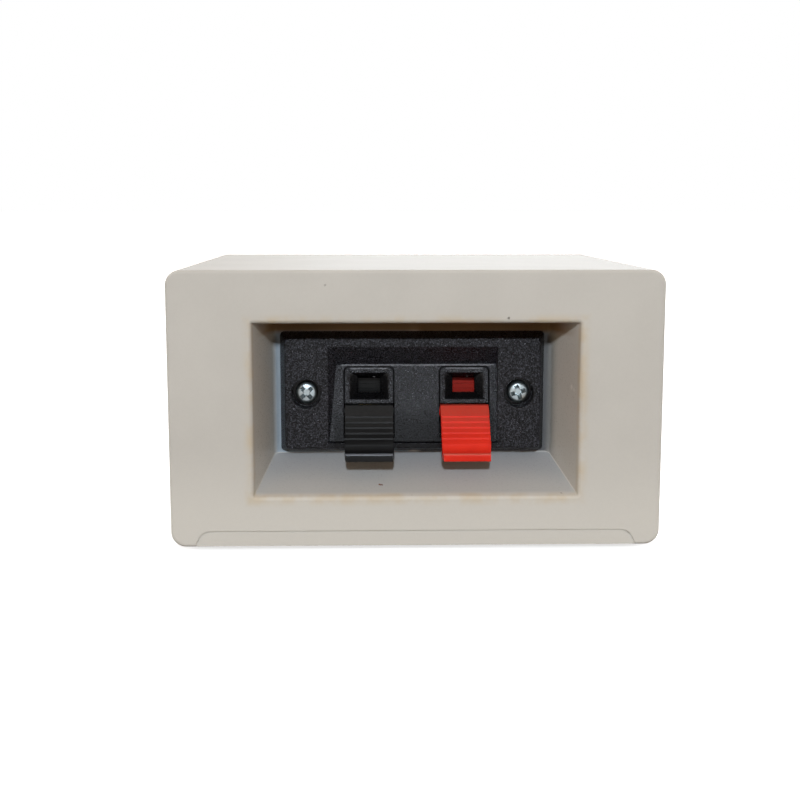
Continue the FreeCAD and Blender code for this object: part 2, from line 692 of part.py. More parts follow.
def terminal_body():
    body = new_body("terminal_body", TERMINAL_X, SEAT_Y, TERMINAL_Z)

    def section(across, rim):
        half = s.body_width / 2 + rim
        return rectangle(new_sketch(body, "XZ", across), s.port_shift - half, s.port_shift + half,
                         -(s.cavity_floor + s.body_wall + rim), s.cavity_top + s.body_wall + rim)

    pad(body, section(0, as_formula(0)), s.body_back)
    pad(body, section(0, s.flange_rim), s.flange_thick)
    cavity_front = s.hole_back + s.port_wall
    for middle in POLES.values():
        half = s.slot_width / 2 - s.tower_gap
        tower = new_sketch(body, "YZ", middle)
        sink = s.tower_sink
        outline(
            tower,
            [(s.flange_thick, -s.tower_foot), (s.flange_thick, s.tower_top),
             (sink - face_out(-s.tower_top), s.tower_top),
             (sink - face_out(s.tower_foot), -s.tower_foot)],
        )
        pad(body, tower, half * 2, toward=0)
        cavity = rectangle(new_sketch(body, "XZ", cavity_front), middle - s.slot_width / 2,
                           middle + s.slot_width / 2, -s.cavity_floor, s.cavity_top)
        pocket(body, cavity, s.body_back - s.body_wall - cavity_front)
        gate = rectangle(new_sketch(body, "XZ", 0), middle - s.slot_width / 2,
                         middle + s.slot_width / 2, -s.cavity_floor, -s.tower_foot)
        pocket(body, gate, s.body_back - s.body_wall)

        # The wire port narrows from an upright rectangle on the tower's sloping face to the wire hole.
        # Its funnel is drawn on to a plane in front of that face.
        front = face_out(s.tower_foot)

        def before(on_face, at_hole, drop):
            reach = s.hole_back + face_out(drop) - s.tower_sink
            return at_hole + (on_face - at_hole) * (s.hole_back + front) / reach

        def port(across, width, top, foot):
            return rectangle(new_sketch(body, "XZ", across), middle - width / 2,
                             middle + width / 2, -foot, top)

        low = s.mouth_foot
        high = -s.mouth_top
        wide = before(s.mouth_width, s.hole_width, high) / 2
        narrow = before(s.mouth_width, s.hole_width, low) / 2
        top = before(s.mouth_top, s.hole_top, high)
        foot = -before(s.mouth_foot, s.hole_foot, low)
        mouth = outline(new_sketch(body, "XZ", -front), [(middle - narrow, foot), (middle + narrow, foot),
                                                         (middle + wide, top), (middle - wide, top)])
        loft(body, "Subtractive", mouth, port(s.hole_back, s.hole_width, s.hole_top, s.hole_foot))
        pocket(body, port(0, s.hole_width, s.hole_top, s.hole_foot), cavity_front * 2)
        slot = rectangle(new_sketch(body, "XZ", s.body_back), middle - s.contact_width / 2 - s.tab_gap,
                         middle + s.contact_width / 2 + s.tab_gap, -s.cavity_floor,
                         -s.cavity_floor + s.contact_thick + s.tab_gap)
        pocket(body, slot, s.body_wall * 2, toward=-1)

    def tower_corner(edge, box):
        level = lies_in(box.ZMin, box.ZMax, s.tower_top)
        return level and along_y(edge, box) and box.YMin < -NEAR

    round_edges(body, s.slot_corner - s.tower_gap, tower_corner)


# Levers: a stepped pad with a finger lip, a hub with moulded pins, and an inner arm with a shutter


def lever(colour):
    body = new_body(f"{colour}_lever", TERMINAL_X + POLES[colour], SEAT_Y, TERMINAL_Z)
    run = s.bend_out - s.pad_out
    fall = s.bend_drop - s.pad_top
    slope = diagonal(run, fall)
    down = (run / slope, fall / slope)

    def under_slope(distance):
        """A point of the pad's inner side, so far down the slope from the pad's upper edge."""
        out = s.pad_out + down[0] * distance - down[1] * s.pad_thick
        return -out, -(s.pad_top + down[1] * distance + down[0] * s.pad_thick)

    lip_foot = s.lip_top + s.lip_thick
    inner_top = under_slope(as_formula(0))
    inner_bend = under_slope(slope)
    # Below a plain stretch the pad goes down like shingles, each an upright face and a sloping one
    steps = []
    count = int(s.step_count.value)
    for number in range(count):
        out = s.plain_out + (s.bend_out - s.plain_out) * number / count
        drop = s.plain_drop + (s.bend_drop - s.plain_drop) * number / count
        steps += [(-out, -drop), (-out, -drop - s.step_rise)]
    # The hollow above the lip is an arc with its centre level with both of its ends
    reach = s.lip_out - s.bend_out
    dip = s.lip_top - s.bend_drop
    aside = s.hollow_out - (s.bend_out + s.lip_out) / 2
    hollow = (-s.hollow_out, aside * reach / dip - (s.bend_drop + s.lip_top) / 2)
    top = [(-s.pivot_out, -s.pad_top), (-s.pad_out, -s.pad_top)] + steps
    profile = new_sketch(body, "YZ")
    outline(
        profile,
        top + [(-s.bend_out, -s.bend_drop), (-s.lip_out, -s.lip_top), (-s.lip_out, -lip_foot),
               (inner_bend[0] - s.pad_thick, -lip_foot), inner_bend, inner_top,
               (-s.pivot_out, -s.pivot_drop)],
        arcs={len(top): (hollow, True, "across")},
    )
    pad(body, profile, s.lever_width, toward=0)
    # Both sides close in a little from the bend to the lip
    beyond = s.lip_out + s.lip_taper
    for side in SIDES:
        edge = side * s.lever_width / 2
        taper = side * s.lip_taper
        wedge = outline(
            new_sketch(body, "XY"),
            [(edge, -s.bend_out), (edge - taper, -s.lip_out), (edge - taper, -beyond),
             (edge + taper, -beyond), (edge + taper, -s.bend_out)],
        )
        pocket(body, wedge, lip_foot * 2, toward=0)
    for radius, length in ((s.hub_radius, s.lever_width),
                           (s.trunnion_radius, s.lever_width + 2 * s.trunnion_reach)):
        pin = circle(new_sketch(body, "YZ"), -s.pivot_out, -s.pivot_drop, radius)
        pad(body, pin, length, toward=0)

    # Inner arm, shutter and the shelf that the spring stands on
    back = s.shutter_back + s.shutter_thick
    grooves = []
    for number in (1, 2):
        high = s.shutter_top - number * s.shutter_pitch
        low = high - s.shutter_groove
        sunk = s.shutter_back + s.shutter_groove
        grooves += [(s.shutter_back, high), (sunk, high), (sunk, low), (s.shutter_back, low)]
    arm = new_sketch(body, "YZ")
    outline(
        arm,
        [(-s.pivot_out, -s.arm_top), (-s.pivot_out, -s.arm_foot), (back, -s.arm_foot),
         (back, s.shutter_top - s.seat_thick),
         (s.shutter_back + s.spring_seat, s.shutter_top - s.seat_thick),
         (s.shutter_back + s.spring_seat, s.shutter_top), (s.shutter_back, s.shutter_top)]
        + grooves + [(s.shutter_back, -s.arm_top)],
    )
    pad(body, arm, s.arm_width, toward=0)
    window = rectangle(new_sketch(body, "XZ", s.shutter_back), -s.window_width / 2,
                       s.window_width / 2, -s.window_foot, -s.window_top)
    pocket(body, window, s.shutter_thick * 2, toward=0)
    peg = circle(new_sketch(body, "XY", s.shutter_top), 0, s.shutter_back + s.spring_seat / 2,
                 s.peg_radius)
    pad(body, peg, s.peg_height)


def spring(colour):
    """A compression coil between the lever's shelf and the ceiling of its cavity. Its wire has six
    flats, which keeps so small a piece light."""
    seat = SEAT_Y + s.shutter_back + s.spring_seat / 2
    radius = s.spring_wire / 2
    foot = TERMINAL_Z + s.shutter_top + radius
    body = new_body(f"{colour}_spring", TERMINAL_X + POLES[colour], seat, foot)
    angles = [math.radians(60 * n) for n in range(6)]
    wire = new_sketch(body, "XZ")
    outline(wire, [(s.coil_radius + radius * math.cos(a), radius * math.sin(a)) for a in angles])
    height = s.cavity_top - s.shutter_top - s.spring_wire
    doc.recompute()
    coil = body.newObject("PartDesign::AdditiveHelix", "Coil")
    coil.Profile = wire
    coil.ReferenceAxis = (wire, ["V_Axis"])
    bind(coil, "Pitch", height / s.spring_turns)
    bind(coil, "Height", height)
    doc.recompute()


def contact(colour):
    """A bent strip: an upright that the wire is pressed on, and a tab that leaves the body."""
    body = new_body(f"{colour}_contact", TERMINAL_X + POLES[colour], SEAT_Y, TERMINAL_Z)
    front = s.contact_back
    end = s.body_back + s.tab_reach
    floor = -s.cavity_floor
    strip = new_sketch(body, "YZ")
    outline(
        strip,
        [(front, -s.contact_top), (front, floor), (end, floor), (end, floor + s.contact_thick),
         (front + s.contact_thick, floor + s.contact_thick),
         (front + s.contact_thick, -s.contact_top)],
    )
    pad(body, strip, s.contact_width, toward=0)
    hole = circle(new_sketch(body, "XY", floor), 0, end - s.tab_hole_inset, s.tab_hole)
    pocket(body, hole, s.contact_thick)


# Screws: a pan head with a cross recess on a plain shank


def screw(label, length, x, y, z, toward):
    """A screw whose head's seat is at a point, with its head towards +1 or -1 along Y."""
    body = doc.addObject("PartDesign::Body", label)
    place(body, x, y, z)
    profile = new_sketch(body, "XY")
    head = toward * s.head_height
    shoulder = toward * (s.head_height - s.head_bevel)
    outline(
        profile,
        [(0, -toward * length), (s.shank_radius, -toward * length), (s.shank_radius, 0),
         (s.head_radius, 0), (s.head_radius, shoulder), (s.head_radius - s.head_bevel, head),
         (0, head)],
    )
    revolve(body, profile)
    for across, up in ((s.cross_span, s.cross_width), (s.cross_width, s.cross_span)):
        arm = rectangle(new_sketch(body, "XZ", head), -across / 2, across / 2, -up / 2, up / 2)
        pocket(body, arm, s.cross_depth, toward=-toward)
    return body


def terminal_screws():
    seat = SEAT_Y - s.bore_floor
    group("terminal_screws", [
        screw("terminal_screw", s.screw_length, across, seat, TERMINAL_Z, -1)
        for across in terminal_screw_places()
    ])


def front_screws():
    group("front_screws", [
        screw("front_screw", s.front_screw_length, across, BAFFLE_Y, up, 1)
        for across, up in corner_bosses()
    ])


def driver_screws():
    half = DRIVER_SCREW
    group("driver_screws", [
        screw("driver_screw", s.screw_length, i * half, BAFFLE_Y + s.flange_plate,
              MIDDLE_Z + k * half, 1)
        for i in SIDES for k in SIDES
    ])


# Front frame with its baffle, and the grille


def front_frame():
    body = new_body("front_frame")
    half = s.cabinet_width / 2
    top = FLOOR_Z + s.cabinet_height
    outer = rectangle(new_sketch(body, "XZ", JOINT_Y), -half, half, FLOOR_Z, top)
    pad(body, outer, FRONT_Y - JOINT_Y)
    round_edges(body, s.cabinet_corner, along_y)
    round_edges(body, s.front_edge_round, lambda e, b: lies_in(b.YMin, b.YMax, FRONT_Y))

    def cut_inside(wall, floor):
        inside = rectangle(new_sketch(body, "XZ", FRONT_Y), wall - half, half - wall,
                           FLOOR_Z + wall, top - wall)
        pocket(body, inside, FRONT_Y - floor, toward=-1)

    cut_inside(s.cabinet_wall, FRONT_Y - s.grille_sink - s.grille_thick)
    cut_inside(s.cabinet_wall + s.ledge_width, BAFFLE_Y)
    hole = circle(new_sketch(body, "XZ", JOINT_Y), 0, MIDDLE_Z,
                  BASKET_MOUTH + s.sheet_thick + s.basket_hole_gap)
    pocket(body, hole, s.baffle_thick)
    for across, up in corner_bosses():
        hole = circle(new_sketch(body, "XZ", JOINT_Y), across, up, s.screw_hole)
        pocket(body, hole, s.baffle_thick)
    half_pitch = DRIVER_SCREW
    for i in SIDES:
        for k in SIDES:
            hole = circle(new_sketch(body, "XZ", JOINT_Y), i * half_pitch,
                          MIDDLE_Z + k * half_pitch, s.shank_radius)
            pocket(body, hole, s.baffle_thick)


def front_grille():
    """A sheet with rows of six-sided holes, every second row shifted by half a cell."""
    edge = s.cabinet_wall + s.grille_gap
    width = (s.cabinet_width - 2 * edge).value
    height = (s.cabinet_height - 2 * edge).value
    thick = s.grille_thick.value
    sheet = Part.makeBox(width, thick, height, FreeCAD.Vector(-width / 2, 0, -height / 2))
    pitch = s.cell_pitch.value
    row_pitch = pitch * math.sqrt(3) / 2
    corner = s.cell_flat.value / math.sqrt(3)
    border = s.grille_border.value
    rows = int((height / 2 - border - corner) / row_pitch)
    cells = []
    for row in range(-rows, rows + 1):
        shift = pitch / 2 if row % 2 else 0
        room = width / 2 - border - s.cell_flat.value / 2
        columns = int((room - shift) / pitch)
        places = [shift + pitch * n for n in range(columns + 1)]
        places += [-x for x in places if x > NEAR]
        for across in places:
            up = row * row_pitch
            ring = [
                FreeCAD.Vector(across + corner * math.sin(math.radians(60 * n)), -thick,
                               up + corner * math.cos(math.radians(60 * n)))
                for n in range(7)
            ]
            hexagon = Part.Face(Part.makePolygon(ring))
            cells.append(hexagon.extrude(FreeCAD.Vector(0, 3 * thick, 0)))
    grille = doc.addObject("Part::Feature", "front_grille")
    grille.Shape = sheet.cut(Part.makeCompound(cells))
    grille.Label = "front_grille"
    place(grille, 0, FRONT_Y - s.grille_sink - s.grille_thick, MIDDLE_Z)
    doc.recompute()
    parts.append(grille)


# Driver: pieces turned about its axis, with lengths measured forward from the mounting plane


def driver_body(label):
    return new_body(label, 0, BAFFLE_Y, MIDDLE_Z)


def turned(label, points, arcs=None):
    body = driver_body(label)
    revolve(body, outline(new_sketch(body, "XY"), points, arcs))
    return body


def ring(label, inner, outer, back, front):
    return turned(label, [(inner, back), (outer, back), (outer, front), (inner, front)])


DRIVER_SIDE = s.cabinet_height - 2 * (s.cabinet_wall + s.ledge_width + s.driver_margin)
DRIVER_SCREW = DRIVER_SIDE / 2 - s.driver_screw_inset
BASKET_MOUTH = DRIVER_SIDE / 2 - s.mouth_rim
LEDGE_RADIUS = BASKET_MOUTH - s.ledge_step
LEDGE_INNER = LEDGE_RADIUS - s.spider_land
LAND_RADIUS = DRIVER_SIDE / 2 - s.land_margin
ROLL_OUTER = LAND_RADIUS - s.surround_land
ROLL_INNER = ROLL_OUTER - 2 * s.roll_radius - s.surround_thick
CONE_RADIUS = ROLL_INNER - s.glue_gap
TOP_PLATE_FRONT = -(s.plate_depth + s.sheet_thick)
TOP_PLATE_BACK = TOP_PLATE_FRONT - s.top_plate_thick
MAGNET_BACK = TOP_PLATE_BACK - s.magnet_thick
FORMER_OUTER = s.former_radius + s.former_thick
LAND_FRONT = s.flange_plate + s.surround_thick
ROLL_CHORDS = 8


def driver_frame():
    """A pressed frame: square flange, stepped wall with windows, ledge for the spider, open back."""
    body = driver_body("driver_frame")
    thick = s.sheet_thick
    half = DRIVER_SIDE / 2
    pad(body, rectangle(new_sketch(body, "XZ", 0), -half, half, -half, half), s.flange_plate)
    round_edges(body, s.driver_corner, along_y)
    mouth = circle(new_sketch(body, "XZ", 0), 0, 0, BASKET_MOUTH)
    pocket(body, mouth, s.flange_plate)
    wall = new_sketch(body, "XY")
    outline(
        wall,
        [(BASKET_MOUTH, s.flange_plate), (BASKET_MOUTH + thick, s.flange_plate),
         (BASKET_MOUTH + thick, 0), (LEDGE_RADIUS + thick, -s.ledge_depth - thick),
         (LEDGE_INNER + thick, -s.ledge_depth - thick),
         (LEDGE_INNER + thick, -s.plate_depth - thick), (s.basket_bore, -s.plate_depth - thick),
         (s.basket_bore, -s.plate_depth), (LEDGE_INNER, -s.plate_depth),
         (LEDGE_INNER, -s.ledge_depth), (LEDGE_RADIUS, -s.ledge_depth), (BASKET_MOUTH, 0)],
    )
    revolve(body, wall)
    window = new_sketch(body, "XY", 0)
    start = -s.basket_window_start
    rectangle(window, -s.basket_window_width / 2, s.basket_window_width / 2,
              start - s.basket_window_depth, start)
    cut = pocket(body, window, DRIVER_SIDE)
    turns = body.newObject("PartDesign::PolarPattern", "windows")
    turns.Originals = [cut]
    axis = next(f for f in body.Origin.OriginFeatures if f.Role == "Y_Axis")
    turns.Axis = (axis, [""])
    turns.Angle = 360
    bind(turns, "Occurrences", s.window_count)
    body.Tip = turns
    doc.recompute()
    half_pitch = DRIVER_SCREW
    for i in SIDES:
        for k in SIDES:
            hole = circle(new_sketch(body, "XZ", 0), i * half_pitch, k * half_pitch, s.screw_hole)
            pocket(body, hole, s.flange_plate)


def driver_motor():
    ring("top_plate", s.gap_radius, s.top_plate_radius, TOP_PLATE_BACK, TOP_PLATE_FRONT)
    ring("ring_magnet", s.magnet_inner, s.magnet_outer, MAGNET_BACK, TOP_PLATE_BACK)
    yoke_back = MAGNET_BACK - s.yoke_thick
    turned("yoke", [(0, yoke_back), (s.yoke_radius, yoke_back), (s.yoke_radius, MAGNET_BACK),
                    (s.pole_radius, MAGNET_BACK), (s.pole_radius, TOP_PLATE_FRONT),
                    (0, TOP_PLATE_FRONT)])


def driver_coil():
    front = -s.former_front
    ring("coil_former", s.former_radius, FORMER_OUTER, front - s.former_length, front)
    middle = (TOP_PLATE_FRONT + TOP_PLATE_BACK) / 2
    ring("coil_winding", FORMER_OUTER, FORMER_OUTER + s.coil_thick, middle - s.coil_length / 2,
         middle + s.coil_length / 2)


def driver_cone():
    """The cone, its dust cap, the half-roll surround and the gasket over the surround's edge."""
    neck = FORMER_OUTER
    foot = -s.former_front
    rim = s.flange_plate
    thick = s.cone_thick
    turned("cone", [(neck, foot - thick), (neck, foot), (CONE_RADIUS, rim + thick),
                    (CONE_RADIUS, rim)])

    # The dust cap sits on the cone's front side, at the height where its foot meets the cone
    rise = (rim + thick - foot) / (CONE_RADIUS - neck)
    cap_foot = foot + rise * (s.cap_radius - neck) + s.glue_gap
    centre = cap_foot + (s.cap_height * s.cap_height - s.cap_radius * s.cap_radius) / (2 * s.cap_height)
    inner = s.cap_radius - thick
    turned("dust_cap",
           [(0, cap_foot + s.cap_height - thick), (inner, cap_foot), (s.cap_radius, cap_foot),
            (0, cap_foot + s.cap_height)],
           arcs={0: ((0, centre), True, "across"), 2: ((0, centre), False, "across")})

    middle = (ROLL_INNER + ROLL_OUTER) / 2
    outer = (ROLL_OUTER - ROLL_INNER) / 2
    inner = outer - s.surround_thick
    angles = [math.pi * n / ROLL_CHORDS for n in range(ROLL_CHORDS + 1)]
    under = [(middle - inner * math.cos(a), rim + inner * math.sin(a)) for a in angles]
    over = [(middle + outer * math.cos(a), LAND_FRONT + outer * math.sin(a)) for a in angles]
    turned("surround", [(ROLL_INNER, rim)] + under + [(LAND_RADIUS, rim), (LAND_RADIUS, LAND_FRONT)] + over)
    ring("gasket", LAND_RADIUS - s.gasket_width, LAND_RADIUS, LAND_FRONT, LAND_FRONT + s.gasket_thick)


def driver_spider():
    """A corrugated disc between the coil former and the frame's ledge."""
    inner = FORMER_OUTER + s.glue_gap
    outer = LEDGE_RADIUS - s.glue_gap
    seat = -s.ledge_depth
    land = outer - LEDGE_INNER
    waves = int(s.spider_waves.value)
    step = (outer - land - inner) / (2 * waves)
    lower = [(inner + step * n, seat + (s.spider_wave_height if n % 2 else 0))
             for n in range(2 * waves + 1)]
    lower.append((outer, seat))
    upper = [(across, up + s.spider_thick) for across, up in reversed(lower)]
    turned("spider", lower + upper)


def driver_terminals():
    """A board riveted behind the spider's ledge, with two solder lugs on its back."""
    top = -LEDGE_RADIUS + s.board_lap
    low = top - s.board_height
    front = -s.ledge_depth - s.sheet_thick
    board = driver_body("terminal_board")
    rectangle(new_sketch(board, "XZ", front), -s.board_width / 2, s.board_width / 2, low, top)
    pad(board, board.Group[-1], s.board_thick, toward=-1)
    for colour, side in (("black", -1), ("red", 1)):
        lug = driver_body(f"{colour}_lug")
        middle = side * s.lug_pitch / 2
        foot = low + s.lug_inset
        plate = rectangle(new_sketch(lug, "XZ", front - s.board_thick), middle - s.lug_width / 2,
                          middle + s.lug_width / 2, foot, foot + s.lug_height)
        pad(lug, plate, s.lug_thick, toward=-1)


# Leads: from each solder tab to the driver's lugs, under the magnet

# Where a lead turns, as shares of the way from the tab to the lug
LEAD_LEVEL, LEAD_FALL, LEAD_LOWEST, LEAD_ARRIVAL = 0.16, 0.34, 0.56, 0.8
# How much of its two straight runs a bend may take
BEND_SHARE = 0.45


def bent_path(points):
    """Straight runs joined by tangent arcs, each as large as its two runs allow."""
    edges = []
    last = points[0]
    for before, corner, after in zip(points, points[1:], points[2:]):
        inward = (before - corner).normalize()
        outward = (after - corner).normalize()
        turn = math.pi - inward.getAngle(outward)
        setback = BEND_SHARE * min((before - corner).Length, (after - corner).Length)
        radius = setback / math.tan(turn / 2)
        start = corner + inward * setback
        end = corner + outward * setback
        bisector = (inward + outward).normalize()
        middle = corner + bisector * (radius / math.cos(turn / 2) - radius)
        edges += [Part.LineSegment(last, start).toShape(), Part.Arc(start, middle, end).toShape()]
        last = end
    edges.append(Part.LineSegment(last, points[-1]).toShape())
    return Part.Wire(edges)


def lead(colour):
    side = -1 if colour == "black" else 1
    tab_end = SEAT_Y + s.body_back + s.tab_reach
    tab_z = TERMINAL_Z - s.cavity_floor + s.contact_thick / 2
    lug_y = BAFFLE_Y - s.ledge_depth - s.sheet_thick - s.board_thick - s.lug_thick
    lug_z = MIDDLE_Z - LEDGE_RADIUS + s.board_lap - s.board_height + s.lug_inset + s.lug_height / 2
    start = FreeCAD.Vector((TERMINAL_X + POLES[colour]).value, tab_end.value, tab_z.value)
    end = FreeCAD.Vector(side * s.lug_pitch.value / 2, lug_y.value, lug_z.value)
    low = (MIDDLE_Z - s.lead_drop).value
    reach = end.y - start.y
    points = [
        start,
        FreeCAD.Vector(start.x, start.y + reach * LEAD_LEVEL, start.z),
        FreeCAD.Vector((2 * start.x + end.x) / 3, start.y + reach * LEAD_FALL, (start.z + low) / 2),
        FreeCAD.Vector((start.x + 3 * end.x) / 4, start.y + reach * LEAD_LOWEST, low),
        FreeCAD.Vector(end.x, start.y + reach * LEAD_ARRIVAL, end.z),
        end,
    ]
    path = bent_path(points)
    disc = Part.Wire(Part.makeCircle(s.lead_radius.value, start, FreeCAD.Vector(0, 1, 0)))
    tube = path.makePipeShell([disc], True, True)
    wire = doc.addObject("Part::Feature", f"{colour}_lead")
    wire.Shape = tube
    wire.Label = f"{colour}_lead"
    parts.append(wire)


def build():
    rear_cabinet()
    rubber_feet()
    terminal_plate()
    terminal_body()
    for colour in POLES:
        lever(colour)
        spring(colour)
        contact(colour)
    terminal_screws()
    front_frame()
    front_grille()
    front_screws()
    driver_frame()
    driver_motor()
    driver_coil()
    driver_cone()
    driver_spider()
    driver_terminals()
    driver_screws()
    for colour in POLES:
        lead(colour)
    doc.recompute()


def check_and_write():
    failed = [o.Name for o in doc.Objects if {"Invalid", "Error"} & set(o.State)]
    if failed:
        raise RuntimeError(f"these objects failed: {failed}")
    for part in parts:
        if part.Shape.isNull() or not part.Shape.isValid():
            raise RuntimeError(f"{part.Label} has no valid shape")
    os.makedirs("parts", exist_ok=True)
    for part in parts:
        part.Shape.exportStep(os.path.join("parts", f"{part.Label}.step"))
        print(part.Label, len(part.Shape.Solids), round(part.Shape.Volume, 2))


build()
check_and_write()
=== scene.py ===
"""Looks of the compact loudspeaker: softened copies of the CAD pieces, turned screw heads, procedural
finishes, and a small studio with the photograph's viewpoint.

Metres, in the frame of the CAD model: +Z up, the rear with the terminal faces -Y. Finishes measure
their textures in millimetres.
"""

import json
import math

import bmesh
import bpy
from mathutils import Euler, Matrix, Vector
from mathutils.bvhtree import BVHTree


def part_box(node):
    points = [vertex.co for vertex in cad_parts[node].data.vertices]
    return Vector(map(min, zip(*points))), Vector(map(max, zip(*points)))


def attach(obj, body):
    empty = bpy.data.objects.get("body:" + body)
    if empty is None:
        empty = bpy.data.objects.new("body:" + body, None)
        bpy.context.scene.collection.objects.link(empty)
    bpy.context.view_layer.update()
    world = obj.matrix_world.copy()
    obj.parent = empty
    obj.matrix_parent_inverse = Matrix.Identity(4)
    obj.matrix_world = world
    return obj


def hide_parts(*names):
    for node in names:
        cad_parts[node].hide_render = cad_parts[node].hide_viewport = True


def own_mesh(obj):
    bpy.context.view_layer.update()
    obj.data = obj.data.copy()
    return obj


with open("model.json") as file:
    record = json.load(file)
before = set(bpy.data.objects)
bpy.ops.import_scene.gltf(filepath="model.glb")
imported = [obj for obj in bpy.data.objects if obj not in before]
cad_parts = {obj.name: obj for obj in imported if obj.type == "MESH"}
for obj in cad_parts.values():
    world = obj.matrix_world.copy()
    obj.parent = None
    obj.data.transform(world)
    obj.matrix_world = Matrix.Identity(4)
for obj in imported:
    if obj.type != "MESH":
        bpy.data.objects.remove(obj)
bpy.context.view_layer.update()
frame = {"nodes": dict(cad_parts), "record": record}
MM = 0.001

# Places, from the frame
REAR_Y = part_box("rear_cabinet")[0].y
TOP_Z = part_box("rear_cabinet")[1].z
PLATE_LOW, PLATE_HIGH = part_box("terminal_plate")
SEAT_Y = PLATE_HIGH.y
TERMINAL_Z = (PLATE_LOW.z + PLATE_HIGH.z) / 2
FRAME_LOW, FRAME_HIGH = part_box("front_frame")
JOINT_Y = FRAME_LOW.y
GRILLE_LOW, GRILLE_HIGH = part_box("front_grille")
POLES = [sum(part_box(lever), Vector()).x / 2 for lever in ("black_lever", "red_lever")]

# The recess: its mouth in the rear face, and its depth in millimetres
MOUTH_HALF = 32.6 * MM
MOUTH_LOW = TERMINAL_Z - 19.5 * MM
MOUTH_HIGH = TERMINAL_Z + 15.5 * MM
RECESS_DEPTH = (SEAT_Y - REAR_Y) / MM

# The terminal's screws, and the wells that they stand in, with a radius in millimetres
SCREW_LOW, SCREW_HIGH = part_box("terminal_screws")
HEAD_RADIUS = (SCREW_HIGH.z - SCREW_LOW.z) / 2
HEAD_HEIGHT = 1.7 * MM
SHANK_RADIUS = 1.1 * MM
WELLS = [(x, SEAT_Y, TERMINAL_Z) for x in (SCREW_LOW.x + HEAD_RADIUS, SCREW_HIGH.x - HEAD_RADIUS)]
WELL_RADIUS = 2.95

# The terminal's sloping field, and the port towers that stand in its slots
FIELD_HALF = 16.8 * MM
LEDGE_TOP = TERMINAL_Z + 5.6 * MM
LEDGE_LEFT = -15.3 * MM
SLOT_FOOT = TERMINAL_Z - 9.4 * MM
TOWER_HALF = 5.14 * MM
TOWER_TOP = TERMINAL_Z + 5.26 * MM
TOWER_CORNER = 1.05 * MM
TOWER_EDGE = TOWER_TOP - 0.34 * MM
PORT_HALF = 4.05 * MM
PORT_LOW = TERMINAL_Z - 1.45 * MM
PORT_HIGH = TERMINAL_Z + 4.05 * MM

# The levers: heights between which their dust thins out, and the upper edge of their finger lips
DUST_LOW = TERMINAL_Z - 9.0 * MM
DUST_HIGH = TERMINAL_Z - 3.6 * MM
LIP_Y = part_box("black_lever")[0].y
LIP_EDGE_LOW = TERMINAL_Z - 11.3 * MM
LIP_EDGE_HIGH = TERMINAL_Z - 11.08 * MM

# Viewpoint that the photograph was taken from
CAMERA_PLACE = Vector((-9.5 * MM, SEAT_Y - 264.0 * MM, TERMINAL_Z + 37.55 * MM))
CAMERA_TURN = Euler((math.pi / 2 - math.radians(8.5), 0.0, -math.radians(1.43)))
CAMERA_LENS = 57.33
CAMERA_SENSOR = 36.0
PICTURE = 800

CABINET_MESH = frame["nodes"]["rear_cabinet"].data
CABINET_SKIN = BVHTree.FromPolygons([v.co for v in CABINET_MESH.vertices],
                                    [f.vertices for f in CABINET_MESH.polygons])
NODE_SLOT = {part["node"]: part["material_slot"] for part in frame["record"]["subparts"]}
NODE_BODY = {
    node: body
    for body, nodes in frame["record"]["behaviour"]["bodies"].items()
    for node in nodes
}


def on_cabinet(across, down):
    """The spot of the cabinet that shows at a pixel of the photograph."""
    scale = CAMERA_SENSOR / CAMERA_LENS / PICTURE
    way = Vector(((across - PICTURE / 2) * scale, (PICTURE / 2 - down) * scale, -1.0))
    way.rotate(CAMERA_TURN)
    return CABINET_SKIN.ray_cast(CAMERA_PLACE, way)[0]


# Finishes


def colour(red, green, blue):
    """A colour written as it looks on a screen, 0 to 255, as the shader's linear value."""
    linear = [
        c / 12.92 if c <= 0.04045 else ((c + 0.055) / 1.055) ** 2.4
        for c in (red / 255, green / 255, blue / 255)
    ]
    return (*linear, 1.0)


